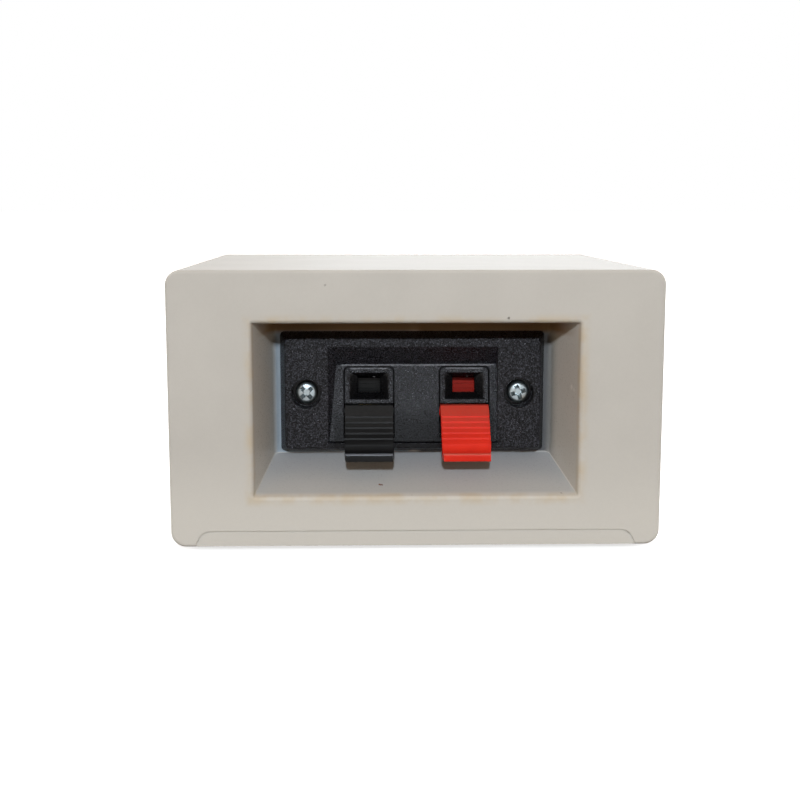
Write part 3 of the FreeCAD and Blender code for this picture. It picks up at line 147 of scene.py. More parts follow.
class Finish:
    """A material round one Principled shader, with textures measured in millimetres."""

    def __init__(self, name, roughness, metallic=0.0, **constants):
        self.name = name
        self.material = bpy.data.materials.new(name)
        self.material.use_nodes = True
        self.tree = self.material.node_tree
        self.shader = self.tree.nodes["Principled BSDF"]
        self.set("Roughness", roughness)
        self.set("Metallic", metallic)
        for socket, value in constants.items():
            self.set(socket.replace("_", " "), value)
        scaled = self.add("ShaderNodeVectorMath", operation="SCALE")
        scaled.inputs["Scale"].default_value = 1 / MM
        self.feed(self.add("ShaderNodeTexCoord").outputs["Object"], scaled.inputs[0])
        self.place = scaled.outputs[0]

    def add(self, kind, **settings):
        node = self.tree.nodes.new(kind)
        for name, value in settings.items():
            setattr(node, name, value)
        return node

    def feed(self, value, socket):
        """Joins an output to a socket, or puts a plain value on it."""
        if isinstance(value, bpy.types.NodeSocket):
            self.tree.links.new(value, socket)
        else:
            socket.default_value = value

    def set(self, socket, value):
        """Feeds one of the shader's own sockets."""
        self.feed(value, self.shader.inputs[socket])

    def vector(self, operation, first, second=None):
        """A vector node that works on one or two vectors."""
        node = self.add("ShaderNodeVectorMath", operation=operation)
        self.feed(first, node.inputs[0])
        if second is not None:
            self.feed(second, node.inputs[1])
        return node

    def stretched(self, x, y, z):
        """The place with each axis multiplied."""
        return self.vector("MULTIPLY", self.place, (x, y, z)).outputs[0]

    def noise(self, size, detail=2.0, rough=0.5, vector=None):
        """Cloudy noise whose features are about this many millimetres across."""
        node = self.add("ShaderNodeTexNoise")
        node.inputs["Scale"].default_value = 1 / size
        node.inputs["Detail"].default_value = detail
        node.inputs["Roughness"].default_value = rough
        self.feed(vector or self.place, node.inputs["Vector"])
        return node.outputs["Fac"]

    def cells(self, size):
        """The distance to the nearest of scattered spots, about this many millimetres apart."""
        node = self.add("ShaderNodeTexVoronoi")
        node.inputs["Scale"].default_value = 1 / size
        self.feed(self.place, node.inputs["Vector"])
        return node.outputs["Distance"]

    def bands(self, axis, scale):
        """Soft bands across an axis."""
        node = self.add("ShaderNodeTexWave", bands_direction=axis)
        node.inputs["Scale"].default_value = scale
        self.feed(self.place, node.inputs["Vector"])
        return node.outputs["Fac"]

    def spread(self, value, low, high, to_low, to_high):
        """A value between two limits, eased into another range."""
        node = self.add("ShaderNodeMapRange", interpolation_type="SMOOTHSTEP")
        for socket, number in zip(node.inputs[1:5], (low, high, to_low, to_high)):
            socket.default_value = number
        self.feed(value, node.inputs["Value"])
        return node.outputs["Result"]

    def rising(self, value, low, high, share=1.0):
        """0 below the lower limit, and a share above the upper one."""
        return self.spread(value, low, high, 0.0, share)

    def fading(self, value, low, high, share=1.0):
        """A share below the lower limit, and 0 above the upper one."""
        return self.spread(value, low, high, share, 0.0)

    def sums(self, operation, first, second=0.0):
        """One step of arithmetic on outputs or plain values."""
        node = self.add("ShaderNodeMath", operation=operation)
        self.feed(first, node.inputs[0])
        self.feed(second, node.inputs[1])
        return node.outputs[0]

    def plus(self, first, second):
        return self.sums("ADD", first, second)

    def minus(self, first, second):
        return self.sums("SUBTRACT", first, second)

    def larger(self, first, second):
        return self.sums("MAXIMUM", first, second)

    def unsigned(self, value):
        return self.sums("ABSOLUTE", value)

    def times(self, *values):
        product = values[0]
        for value in values[1:]:
            product = self.sums("MULTIPLY", product, value)
        return product

    def mixed(self, share, first, second):
        """A blend of two colours, each a plain colour or an output."""
        node = self.add("ShaderNodeMix", data_type="RGBA")
        self.feed(share, node.inputs["Factor"])
        self.feed(first, node.inputs[6])
        self.feed(second, node.inputs[7])
        return node.outputs[2]

    def axis(self, letter, origin=0.0):
        """One coordinate of the place in millimetres, from an origin given in metres."""
        node = self.add("ShaderNodeSeparateXYZ")
        self.feed(self.place, node.inputs[0])
        return self.minus(node.outputs[letter], origin / MM)

    def facing(self, letter):
        """One coordinate of the way that the surface faces, in the object's own frame."""
        node = self.add("ShaderNodeSeparateXYZ")
        self.feed(self.add("ShaderNodeTexCoord").outputs["Normal"], node.inputs[0])
        return node.outputs[letter]

    def away_from(self, place, along=(1, 1, 1)):
        """Distance in millimetres from a place given in metres, along the axes that count."""
        apart = self.vector("SUBTRACT", self.place, Vector(place) / MM).outputs[0]
        counted = self.vector("MULTIPLY", apart, along).outputs[0]
        return self.vector("LENGTH", counted).outputs["Value"]

    def off_edge(self, letter, low, high):
        """How far outside a span of one axis the place is, in millimetres, less than 0 inside it."""
        aside = self.unsigned(self.axis(letter, (low + high) / 2))
        return self.minus(aside, (high - low) / 2 / MM)

    def bump(self, height, depth):
        """Relief this many millimetres deep."""
        node = self.add("ShaderNodeBump")
        node.inputs["Distance"].default_value = depth * MM
        self.feed(height, node.inputs["Height"])
        self.set("Normal", node.outputs["Normal"])


# The cabinet's plastic

PALE_GREY = colour(192, 189, 183)
CLOUD_GREY = colour(188, 185, 179)
# Painted light: the cabinet's grey is made lighter towards its foot
PAINTED_FOOT_LIGHT = colour(204, 201, 194)
FLECK_GREY = colour(160, 156, 150)
YELLOWED = colour(186, 160, 112)
# Painted shade and a painted sheen on the recess's floor, walls and corners
FLOOR_SHADE = colour(150, 152, 156)
LEFT_WALL_SHADE = colour(84, 80, 78)
RIGHT_CORNER_SHADE = colour(66, 68, 72)
LEFT_CORNER_SHEEN = colour(122, 136, 149)
# Painted shade under the recess's top
BROWN_SHADE = colour(134, 106, 72)
BAFFLE_BLACK = colour(30, 30, 32)

# Marks on the cabinet: pixel across and down the photograph, radius in millimetres, strength and colour
MARKS = {
    "speck above the mouth": (508.5, 318.0, 0.26, 0.85, colour(96, 90, 84)),
    "faint speck further left": (325.0, 285.0, 0.18, 0.5, colour(120, 114, 106)),
    "rust spot on the recess's floor": (380.0, 484.5, 0.26, 0.95, colour(112, 66, 36)),
    "end of the rust spot": (381.5, 484.7, 0.24, 0.95, colour(96, 52, 28)),
    "speck in the right corner": (561.0, 493.0, 0.18, 0.8, colour(84, 74, 66)),
    "speck near the floor's edge": (412.0, 495.0, 0.14, 0.6, colour(120, 104, 92)),
    "scuff on the right wall": (571.5, 387.0, 0.5, 0.45, colour(226, 222, 216)),
    "end of the scuff": (574.0, 390.0, 0.4, 0.3, colour(226, 222, 216)),
}

# A mark's outline fades over this many millimetres to either side
MARK_BLUR = 0.1


def pale_plastic(finish):
    """Grey with faint clouds and flecks, and painted light that makes it a little lighter towards the
    foot.
    """
    cloud = finish.rising(finish.noise(14.0, 4.0, 0.55), 0.3, 0.7)
    tint = finish.mixed(cloud, PALE_GREY, CLOUD_GREY)
    # Painted light: lighter towards the foot
    foot = finish.fading(finish.axis("Z"), 4.0, 24.0, 0.9)
    tint = finish.mixed(foot, tint, PAINTED_FOOT_LIGHT)
    fleck = finish.rising(finish.noise(0.6, 3.0, 0.7), 0.3, 0.7, 0.04)
    return finish.mixed(fleck, tint, FLECK_GREY)


def yellowed(finish, tint, off_mouth):
    """Yellowing in patches along the rim of the recess's mouth."""
    rim = finish.fading(finish.unsigned(off_mouth), 0.3, 2.2)
    front = finish.fading(finish.axis("Y", REAR_Y), 0.8, 2.0)
    patches = finish.spread(finish.noise(5.0, 3.0, 0.6), 0.35, 0.7, 0.05, 0.4)
    return finish.mixed(finish.times(rim, front, patches), tint, YELLOWED)


def in_recess(finish, off_mouth):
    """1 on the recess's walls, and 0 on the rest of the cabinet."""
    within = finish.fading(off_mouth, -0.6, 0.0)
    sunk = finish.rising(finish.axis("Y", REAR_Y), 0.6, 2.0)
    before_seat = finish.fading(finish.axis("Y", SEAT_Y), 0.4, 0.8)
    return finish.times(within, sunk, before_seat)


def recess_walls(finish, tint, recess, deep):
    """Painted shade on the recess's floor and left wall, painted shade in the right corner beside the
    plate, and a painted sheen in the left one.
    """
    # Painted shade: upward faces deep in the recess are tinted darker and bluish
    upward = finish.rising(finish.facing("Z"), 0.5, 0.85)
    dust_and_floor_shade = finish.times(upward, finish.spread(deep, 0.0, 1.0, 0.5, 0.85), recess)
    tint = finish.mixed(dust_and_floor_shade, tint, FLOOR_SHADE)
    # Painted shade on the left wall, darker towards the back
    left_wall = finish.times(finish.rising(finish.facing("X"), 0.4, 0.8, 0.3), deep, recess)
    tint = finish.mixed(left_wall, tint, LEFT_WALL_SHADE)
    # Painted shade beside the plate in the right corner, and a painted bluish sheen in the left one
    off_plate = finish.off_edge("X", PLATE_LOW.x, PLATE_HIGH.x)
    steep = finish.fading(finish.facing("Z"), 0.3, 0.6)
    corner = finish.times(steep, recess, deep)
    on_right = finish.rising(finish.axis("X"), 0.0, 2.0)
    on_left = finish.fading(finish.axis("X"), -2.0, 0.0)
    right = finish.times(corner, finish.fading(off_plate, 0.2, 2.6, 0.95), on_right)
    left = finish.times(corner, finish.fading(off_plate, 0.6, 1.6, 0.85), on_left)
    tint = finish.mixed(right, tint, RIGHT_CORNER_SHADE)
    return finish.mixed(left, tint, LEFT_CORNER_SHEEN)


def sprayed_baffle(finish, tint):
    """Black paint on what shows through the grille."""
    off_opening = finish.larger(finish.off_edge("X", GRILLE_LOW.x, GRILLE_HIGH.x),
                                finish.off_edge("Z", GRILLE_LOW.z, GRILLE_HIGH.z))
    front = finish.rising(finish.axis("Y", JOINT_Y), -0.2, 0.0)
    return finish.mixed(finish.times(finish.fading(off_opening, 0.1, 0.2), front), tint, BAFFLE_BLACK)


def marked(finish, tint):
    """Specks, a rust spot and a scuff, with ragged outlines."""
    ragged = finish.times(finish.minus(finish.noise(0.35, 3.0, 0.7), 0.5), 0.9)
    for across, down, radius, share, stain in MARKS.values():
        near = finish.plus(finish.away_from(on_cabinet(across, down)), ragged)
        spot = finish.fading(near, radius - MARK_BLUR, radius + MARK_BLUR, share)
        tint = finish.mixed(spot, tint, stain)
    return tint


def cabinet_plastic():
    """Pale grey plastic, hardly grained, glossier in the recess but dull under its top, where a brown
    shade is painted.
    """
    finish = Finish("cabinet_plastic", 0.5, Specular_IOR_Level=0.2)
    off_mouth = finish.larger(finish.off_edge("X", -MOUTH_HALF, MOUTH_HALF),
                              finish.off_edge("Z", MOUTH_LOW, MOUTH_HIGH))
    recess = in_recess(finish, off_mouth)
    deep = finish.rising(finish.axis("Y", REAR_Y), 1.0, RECESS_DEPTH - 2.0)
    # Painted shade: the back wall above the plate is tinted brown
    shaded = finish.times(finish.rising(finish.axis("Z", PLATE_HIGH.z), -0.8, 0.6, 0.95), recess, deep)
    tint = yellowed(finish, pale_plastic(finish), off_mouth)
    tint = recess_walls(finish, tint, recess, deep)
    tint = finish.mixed(shaded, tint, BROWN_SHADE)
    tint = sprayed_baffle(finish, tint)
    finish.set("Base Color", marked(finish, tint))
    fine = finish.noise(0.35, 3.0, 0.6)
    dull = finish.minus(finish.spread(fine, 0.3, 0.7, 0.5, 0.6), finish.times(recess, 0.24))
    finish.set("Roughness", finish.plus(dull, finish.times(shaded, 0.6)))
    finish.bump(fine, 0.001)
    return finish


# The terminal's plastics

PIT_BLACK = colour(8, 8, 10)
CREST_GREY = colour(58, 58, 64)
# Painted glints
GLINT_GREY = colour(150, 154, 164)
# Painted highlights along upper edges
LEDGE_HIGHLIGHT = colour(126, 128, 134)
TOWER_HIGHLIGHT = colour(112, 114, 120)
# Plain black inside the port mouths: smooth plastic there, and painted shade of their recessed walls
PORT_BLACK = colour(9, 9, 10)
# Grime and painted shade in the gaps round the port towers
GRIME_AND_SHADE_BLACK = colour(3, 3, 4)
# Painted shade on the levers behind the seat
BEHIND_BLACK = colour(12, 11, 11)


def in_wells(finish):
    """1 in the screw wells, and 0 elsewhere."""
    off_axes = [finish.away_from(place, (1, 0, 1)) for place in WELLS]
    left, right = (finish.fading(off, WELL_RADIUS - 0.1, WELL_RADIUS) for off in off_axes)
    return finish.plus(left, right)


def tower_joint(finish, middle):
    """Grime and painted shade in the gap round a port tower, which has rounded upper corners."""
    straight = TOWER_HALF - TOWER_CORNER
    beside = finish.off_edge("X", middle - straight, middle + straight)
    above = finish.axis("Z", TOWER_TOP - TOWER_CORNER)
    aside = finish.sums("POWER", finish.larger(beside, 0.0), 2.0)
    upward = finish.sums("POWER", finish.larger(above, 0.0), 2.0)
    round_corner = finish.sums("POWER", finish.plus(aside, upward), 0.5)
    within = finish.sums("MINIMUM", finish.larger(beside, above), 0.0)
    off = finish.minus(finish.plus(round_corner, within), TOWER_CORNER / MM)
    line = finish.fading(finish.unsigned(off), 0.08, 0.28, 0.85)
    return finish.times(line, finish.rising(finish.axis("Z", SLOT_FOOT), 0.0, 0.3))


def highlight_line(finish, low, high, height):
    """A painted highlight along an upper edge, from one side to another at a height."""
    along = finish.fading(finish.off_edge("X", low, high), -0.4, 0.0)
    return finish.times(along, finish.fading(finish.off_edge("Z", height, height), 0.08, 0.22))


def terminal_plastic():
    """Black spark-eroded plastic: pits with painted glints, polished screw wells, painted highlights
    along upper edges, and painted shade in the port mouths and, with grime, in the gaps.
    """
    finish = Finish("terminal_plastic", 0.4, Specular_IOR_Level=0.1)
    grained = finish.minus(1.0, in_wells(finish))
    fine = finish.noise(0.24, 1.0, 0.6)
    field = finish.fading(finish.off_edge("X", -FIELD_HALF, FIELD_HALF), -0.5, 0.5)
    # Less grain, fewer glints and less relief towards the foot of the sloping field, so it is smoother
    # and darker there
    low = finish.fading(finish.axis("Z", TERMINAL_Z), -8.0, 0.5, 0.8)
    full_grain = finish.minus(1.0, finish.times(field, low))
    crest = finish.times(finish.rising(fine, 0.42, 0.72), grained, full_grain)
    tint = finish.mixed(crest, PIT_BLACK, CREST_GREY)
    # Painted highlight: a lighter band under the plate's top rim
    under_rim = finish.rising(finish.axis("Z", PLATE_HIGH.z), -3.2, -2.0, 0.22)
    lit = finish.plus(crest, finish.times(under_rim, finish.rising(fine, 0.3, 0.6)))
    # Painted glints: light specks in the colour, on the grain's crests and in the band under the rim
    glint = finish.fading(finish.cells(0.42), 0.08, 0.26, 0.6)
    tint = finish.mixed(finish.times(glint, lit), tint, GLINT_GREY)
    dull = finish.spread(finish.times(fine, grained), 0.1, 0.7, 0.15, 0.38)
    # Painted highlights along the sloping field's top edge and the towers' top edges, in patches
    highlight_patches = finish.spread(finish.noise(0.5, 3.0, 0.7), 0.3, 0.6, 0.2, 0.8)
    ledge = highlight_line(finish, LEDGE_LEFT, FIELD_HALF, LEDGE_TOP)
    tint = finish.mixed(finish.times(ledge, highlight_patches), tint, LEDGE_HIGHLIGHT)
    for middle in POLES:
        left, right = middle - PORT_HALF, middle + PORT_HALF
        edge = highlight_line(finish, left, right, TOWER_EDGE)
        tint = finish.mixed(finish.times(edge, highlight_patches), tint, TOWER_HIGHLIGHT)
        # Inside the port mouths: smooth plastic with no grain or glints, darkened as painted shade
        off_port = finish.larger(finish.off_edge("X", left, right),
                                 finish.off_edge("Z", PORT_LOW, PORT_HIGH))
        tint = finish.mixed(finish.fading(off_port, -0.12, 0.02, 0.9), tint, PORT_BLACK)
        # Grime and painted shade in the gap round the tower
        grime_and_shade = tower_joint(finish, middle)
        tint = finish.mixed(grime_and_shade, tint, GRIME_AND_SHADE_BLACK)
        dull = finish.plus(dull, finish.times(grime_and_shade, 0.7))
    finish.set("Base Color", tint)
    finish.set("Roughness", dull)
    finish.bump(finish.times(finish.cells(0.26), grained, full_grain), 0.05)
    return finish


def lever_plastic(name, light, dark, dust, dust_share, wear_and_painted_highlight):
    """Plastic of a lever: dusty where it faces up, with painted shade behind the seat and a painted
    highlight along its lip.
    """
    finish = Finish(name, 0.42, Specular_IOR_Level=0.12)
    cloud = finish.rising(finish.noise(4.0, 3.0), 0.35, 0.65)
    tint = finish.mixed(cloud, light, dark)
    upward = finish.rising(finish.facing("Z"), 0.35, 0.75, dust_share)
    dust_and_floor_shade = finish.spread(finish.noise(0.7, 4.0, 0.7), 0.2, 0.8, 0.6, 1.0)
    high = finish.spread(finish.axis("Z"), DUST_LOW / MM, DUST_HIGH / MM, 0.1, 1.0)
    tint = finish.mixed(finish.times(upward, dust_and_floor_shade, high), tint, dust)
    # Painted highlight along the upper edge of the finger lip
    on_edge = finish.fading(finish.off_edge("Z", LIP_EDGE_LOW, LIP_EDGE_HIGH), 0.0, 0.08, 0.8)
    at_lip = finish.fading(finish.axis("Y", LIP_Y), 0.9, 1.2)
    tint = finish.mixed(finish.times(on_edge, at_lip), tint, wear_and_painted_highlight)
    # Painted shade on what lies behind the seat
    behind = finish.rising(finish.axis("Y", SEAT_Y), -1.0, 1.0, 0.62)
    finish.set("Base Color", finish.mixed(behind, tint, BEHIND_BLACK))
    fine = finish.noise(0.2, 3.0, 0.6)
    finish.set("Roughness", finish.spread(fine, 0.3, 0.7, 0.36, 0.5))
    finish.bump(fine, 0.006)
    return finish


# Finishes of the other pieces


def moulded(name, light, dark, grain, depth, roughness):
    """Moulded or pressed material: a cloudy tint and an even grain of a size and a depth."""
    finish = Finish(name, roughness[0])
    cloud = finish.rising(finish.noise(9.0, 3.0), 0.35, 0.65)
    finish.set("Base Color", finish.mixed(cloud, light, dark))
    fine = finish.noise(grain, 3.0, 0.6)
    finish.set("Roughness", finish.spread(fine, 0.3, 0.7, *roughness))
    finish.bump(fine, depth)
    return finish


def plain_metal(name, tint, wear_and_painted_highlight, roughness, grain=0.5):
    """Metal with fine plated grain and patches that have dulled."""
    finish = Finish(name, roughness, metallic=1.0)
    streaks = finish.noise(grain, 4.0, 0.65)
    patches = finish.rising(finish.noise(2.5, 3.0), 0.4, 0.7)
    finish.set("Base Color", finish.mixed(patches, tint, wear_and_painted_highlight))
    finish.set("Roughness", finish.spread(streaks, 0.25, 0.75, roughness * 0.75, roughness * 1.35))
    finish.bump(streaks, 0.01)
    return finish


def painted_metal(name, tint, dark, roughness):
    """Powder paint: orange-peel relief, and painted shade that gives its hollows a slightly darker
    tone.
    """
    finish = Finish(name, roughness)
    peel = finish.noise(0.45, 2.0)
    finish.set("Base Color", finish.mixed(finish.rising(peel, 0.3, 0.7), dark, tint))
    finish.bump(peel, 0.03)
    return finish


def fibre_board(name, tint, dark, roughness=0.9, size=0.5):
    """Pressed paper or card: matted fibres, lighter and darker."""
    finish = Finish(name, roughness)
    fibres = finish.noise(size, 5.0, 0.7, finish.stretched(1.0, 3.0, 0.35))
    felt = finish.noise(size * 0.5, 3.0, 0.7)
    mat = finish.times(fibres, felt)
    finish.set("Base Color", finish.mixed(finish.rising(mat, 0.15, 0.4), dark, tint))
    finish.bump(mat, 0.06)
    return finish


def rubber(name, tint, dark):
    """Matt rubber with a little dust on it."""
    finish = Finish(name, 0.62, Specular_IOR_Level=0.35)
    dust = finish.noise(0.8, 4.0, 0.7)
    finish.set("Base Color", finish.mixed(finish.rising(dust, 0.45, 0.75), dark, tint))
    finish.set("Roughness", finish.spread(dust, 0.3, 0.7, 0.5, 0.75))
    finish.bump(finish.noise(0.2, 2.0), 0.012)
    return finish


def woven_cloth(name, tint, dark):
    """Coarse varnished weave of the spider."""
    finish = Finish(name, 0.8)
    weave = finish.times(finish.bands("X", 0.35), finish.bands("Z", 0.35))
    finish.set("Base Color", finish.mixed(weave, dark, tint))
    finish.bump(weave, 0.08)
    return finish


def wound_wire(name, tint, dark):
    """Enamelled copper turns round the coil's axis."""
    finish = Finish(name, 0.3, metallic=1.0)
    turns = finish.bands("Y", 2.0)
    finish.set("Base Color", finish.mixed(turns, dark, tint))
    finish.bump(turns, 0.05)
    return finish


ALL_FINISHES = (
    cabinet_plastic(),
    terminal_plastic(),
    lever_plastic("black_lever_plastic", colour(10, 10, 11), colour(7, 7, 8),
                  dust=colour(56, 56, 56), dust_share=0.72, wear_and_painted_highlight=colour(128, 134, 144)),
    lever_plastic("red_lever_plastic", colour(213, 44, 28), colour(206, 40, 26),
                  dust=colour(160, 80, 68), dust_share=0.55, wear_and_painted_highlight=colour(214, 92, 76)),
    moulded("ferrite", colour(52, 52, 54), colour(42, 42, 45), grain=0.6, depth=0.05,
            roughness=(0.6, 0.8)),
    moulded("black_insulation", colour(36, 36, 37), colour(28, 28, 30), grain=0.5, depth=0.01,
            roughness=(0.4, 0.55)),
    moulded("red_insulation", colour(186, 36, 30), colour(168, 30, 26), grain=0.5, depth=0.01,
            roughness=(0.4, 0.55)),
    plain_metal("spring_steel", colour(190, 190, 192), colour(150, 148, 146), roughness=0.28),
    plain_metal("contact_brass", colour(206, 170, 96), colour(160, 122, 66), roughness=0.3),
    plain_metal("screw_steel", colour(138, 147, 151), colour(120, 120, 116), roughness=0.36, grain=0.3),
    plain_metal("motor_steel", colour(196, 186, 150), colour(160, 150, 120), roughness=0.35),
    plain_metal("former_aluminium", colour(206, 208, 210), colour(176, 178, 180), roughness=0.3),
    painted_metal("grille_paint", colour(52, 52, 54), colour(38, 38, 40), roughness=0.48),
    painted_metal("frame_steel", colour(44, 44, 46), colour(30, 30, 32), roughness=0.4),
    wound_wire("coil_wire", colour(206, 120, 78), colour(110, 52, 30)),
    fibre_board("cone_paper", colour(128, 124, 118), colour(84, 81, 77)),
    fibre_board("cap_paper", colour(96, 93, 88), colour(60, 58, 55), roughness=0.6, size=0.35),
    fibre_board("gasket_card", colour(112, 102, 88), colour(72, 65, 56)),
    fibre_board("board_laminate", colour(150, 104, 60), colour(112, 74, 42), roughness=0.6),
    rubber("foot_rubber", colour(62, 61, 60), colour(34, 34, 34)),
    rubber("surround_rubber", colour(50, 50, 51), colour(26, 26, 27)),
    woven_cloth("spider_cloth", colour(198, 160, 96), colour(128, 92, 48)),
)
FINISHES = {finish.name: finish.material for finish in ALL_FINISHES}


def paint(piece, slot):
    piece.data.materials.clear()
    piece.data.materials.append(FINISHES[slot])


# Pieces

# Vertices closer than this are one, and edges that bend more than this are rounded
WELD = 0.002 * MM
SHARP = math.radians(32)

# Shading breaks at edges that bend more than these angles, in degrees
BREAK = 50
SCREW_BREAK = 40

# Rounds along edges, in millimetres
JOINT_ROUND = 0.25
WELL_ROUND = 0.28
LIP_ROUND = 0.5
FACE_ROUND = 0.09
BODY_ROUND = 0.1
GRILLE_ROUND = 0.2

# How far out of the seat and below the terminal's middle the rounded edges lie
PIVOT_OUT = 1.9 * MM
LIP_BACK = 11.2 * MM
LIP_OUT = 11.5 * MM
LIP_MIDDLE = 12.0 * MM
LIP_FOOT = 12.2 * MM

# The edge along a finger lip is longer than this
LIP_LENGTH = 5.0 * MM

# How close an edge has to be to the plate's front, a well, the joint and the outside to count there
FRONT_NEAR = 0.05 * MM
WELL_NEAR = (WELL_RADIUS + 0.2) * MM
JOINT_NEAR = 0.01 * MM
OUTSIDE_NEAR = 2 * MM

# The faces of the cabinet's sides point along Y by less than this share
SIDE_TILT = 0.3

# The shallow step along the rear's lower edge
HEEL_DEEP = 0.5 * MM
HEEL_EDGE = 44.25 * MM
HEEL_FOOT = 1.95 * MM
HEEL_TOP = 3.4 * MM
HEEL_BEND = 1.9 * MM
HEEL_STRETCH = 1.85
HEEL_WIDEN = 1.6


def new_piece(name, mesh, node):
    """A piece that rides with a CAD node's body, wears its finish and is shown in its place."""
    piece = bpy.data.objects.new(name, mesh)
    bpy.context.scene.collection.objects.link(piece)
    paint(piece, NODE_SLOT[node])
    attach(piece, NODE_BODY[node])
    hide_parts(node)
    even = piece.modifiers.new("flat_faces_stay_flat", "WEIGHTED_NORMAL")
    even.keep_sharp = True
    return piece


def mesh_from(form, name, sharp=BREAK):
    """A mesh with smooth shading that breaks only at edges sharper than an angle."""
    for face in form.faces:
        face.smooth = True
    mesh = bpy.data.meshes.new(name)
    form.to_mesh(mesh)
    form.free()
    for layer in [a for a in mesh.attributes if a.name == "custom_normal"]:
        mesh.attributes.remove(layer)
    mesh.set_sharp_from_angle(angle=math.radians(sharp))
    return mesh


def dressed(node, *stages, reshape=None):
    """A copy of a CAD node with rounded edges. Each stage has a width and a test for its edges."""
    form = bmesh.new()
    form.from_mesh(frame["nodes"][node].data)
    bmesh.ops.remove_doubles(form, verts=form.verts, dist=WELD)
    if reshape:
        reshape(form)
    for width, wanted in stages:
        sharp = [e for e in form.edges if e.calc_face_angle(0.0) > SHARP and wanted(e)]
        bmesh.ops.bevel(form, geom=sharp, offset=width * MM, offset_type="OFFSET", segments=2,
                        profile=0.5, affect="EDGES", clamp_overlap=False)
    return new_piece(f"{node}_dressed", mesh_from(form, f"{node}_dressed"), node)


def middle_of(edge):
    return (edge.verts[0].co + edge.verts[1].co) / 2


def every_edge(edge):
    return True


def lip_edge(edge):
    """The upper edge along a lever's finger lip."""
    along = abs(edge.verts[0].co.x - edge.verts[1].co.x) > LIP_LENGTH
    out = max(v.co.y for v in edge.verts) < SEAT_Y - LIP_OUT
    return along and out and min(v.co.z for v in edge.verts) > TERMINAL_Z - LIP_MIDDLE


def face_edge(edge):
    """Edges that stand out in front of the levers' pivots, but for those round the finger lips."""
    middle = middle_of(edge)
    at_lip = middle.y < SEAT_Y - LIP_BACK and middle.z > TERMINAL_Z - LIP_FOOT
    return max(v.co.y for v in edge.verts) < SEAT_Y - PIVOT_OUT and not at_lip


def well_rim(edge):
    """The mouths of the two screw wells, in the plate's front face."""
    front = max(v.co.y for v in edge.verts) < PLATE_LOW.y + FRONT_NEAR
    middle = middle_of(edge)
    away = min(math.hypot(middle.x - x, middle.z - z) for x, _, z in WELLS)
    return front and away < WELL_NEAR


def joint_edge(edge):
    """The outer edges of the joint between the cabinet and its front frame."""
    middle = middle_of(edge)
    beside = min(middle.x - FRAME_LOW.x, FRAME_HIGH.x - middle.x)
    above = min(middle.z - FRAME_LOW.z, FRAME_HIGH.z - middle.z)
    outermost = min(beside, above) < OUTSIDE_NEAR
    at_joint = all(abs(v.co.y - JOINT_Y) < JOINT_NEAR for v in edge.verts)
    out = Vector((middle.x, 0.0, middle.z - TOP_Z / 2))
    side = any(abs(f.normal.y) < SIDE_TILT and f.normal.dot(out) > 0 for f in edge.link_faces)
    return outermost and at_joint and side


def in_heel(spot):
    """Whether a spot is on the outline of the shallow step along the rear's lower edge."""
    return spot.y < REAR_Y + HEEL_DEEP and abs(spot.x) < HEEL_EDGE and HEEL_FOOT < spot.z < HEEL_TOP


def taller_heel(form):
    """Draws the outline of the step upwards and widens the bend of its corners."""
    for vert in form.verts:
        if not in_heel(vert.co):
            continue
        vert.co.z = HEEL_FOOT + (vert.co.z - HEEL_FOOT) * HEEL_STRETCH
        inset = HEEL_EDGE - abs(vert.co.x)
        if inset < HEEL_BEND:
            vert.co.x = math.copysign(HEEL_EDGE - inset * HEEL_WIDEN, vert.co.x)


dressed("rear_cabinet", (JOINT_ROUND, joint_edge), reshape=taller_heel)
dressed("front_frame", (JOINT_ROUND, joint_edge))
dressed("terminal_plate", (WELL_ROUND, well_rim), (FACE_ROUND, face_edge))
dressed("terminal_body", (BODY_ROUND, face_edge))
dressed("black_lever", (LIP_ROUND, lip_edge), (FACE_ROUND, face_edge))
dressed("red_lever", (LIP_ROUND, lip_edge), (FACE_ROUND, face_edge))
dressed("front_grille", (GRILLE_ROUND, every_edge))
for side in ("black", "red"):
    coil = dressed(f"{side}_spring")
    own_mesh(coil)
for node, thing in frame["nodes"].items():
    paint(thing, NODE_SLOT[node])


# Screws: a pan head with a cross recess

TURN_SEGMENTS = 40
HEAD_ARC = range(0, 90, 15)

# Shares of the shank's radius at the screw's point, and of the head's radius and height
POINT_RADIUS = 0.3
POINT_LENGTH = 2.0
HEAD_FLAT = 0.5
HEAD_WALL = 0.4
HEAD_ROUND = 0.56
HEAD_CROWN = ((0.3, 0.985), (0.05, 1.0))
RECESS_SPAN = 1.7
RECESS_WIDTH = 0.42
RECESS_SINK = 0.62

# A wing of the recess stands a share of its depth above the head, and narrows to shares of its top
WING_ABOVE = 0.3
WING_END_SPAN = 0.34
WING_END_WIDTH = 0.7


def turned(form, profile):
    """Turns a profile of (radius, height) round the Z axis into a closed form."""
    turns = [2 * math.pi * n / TURN_SEGMENTS for n in range(TURN_SEGMENTS)]
    rings = [
        [form.verts.new((radius * math.cos(a), radius * math.sin(a), height)) for a in turns]
        for radius, height in profile
    ]
    for low, high in zip(rings, rings[1:]):
        for n in range(TURN_SEGMENTS):
            following = (n + 1) % TURN_SEGMENTS
            form.faces.new((low[n], low[following], high[following], high[n]))
    form.faces.new(list(reversed(rings[0])))
    form.faces.new(rings[-1])


def scratch_object(form, name):
    mesh = bpy.data.meshes.new(name)
    bmesh.ops.recalc_face_normals(form, faces=form.faces)
    form.to_mesh(mesh)
    form.free()
    thing = bpy.data.objects.new(name, mesh)
    bpy.context.scene.collection.objects.link(thing)
    return thing


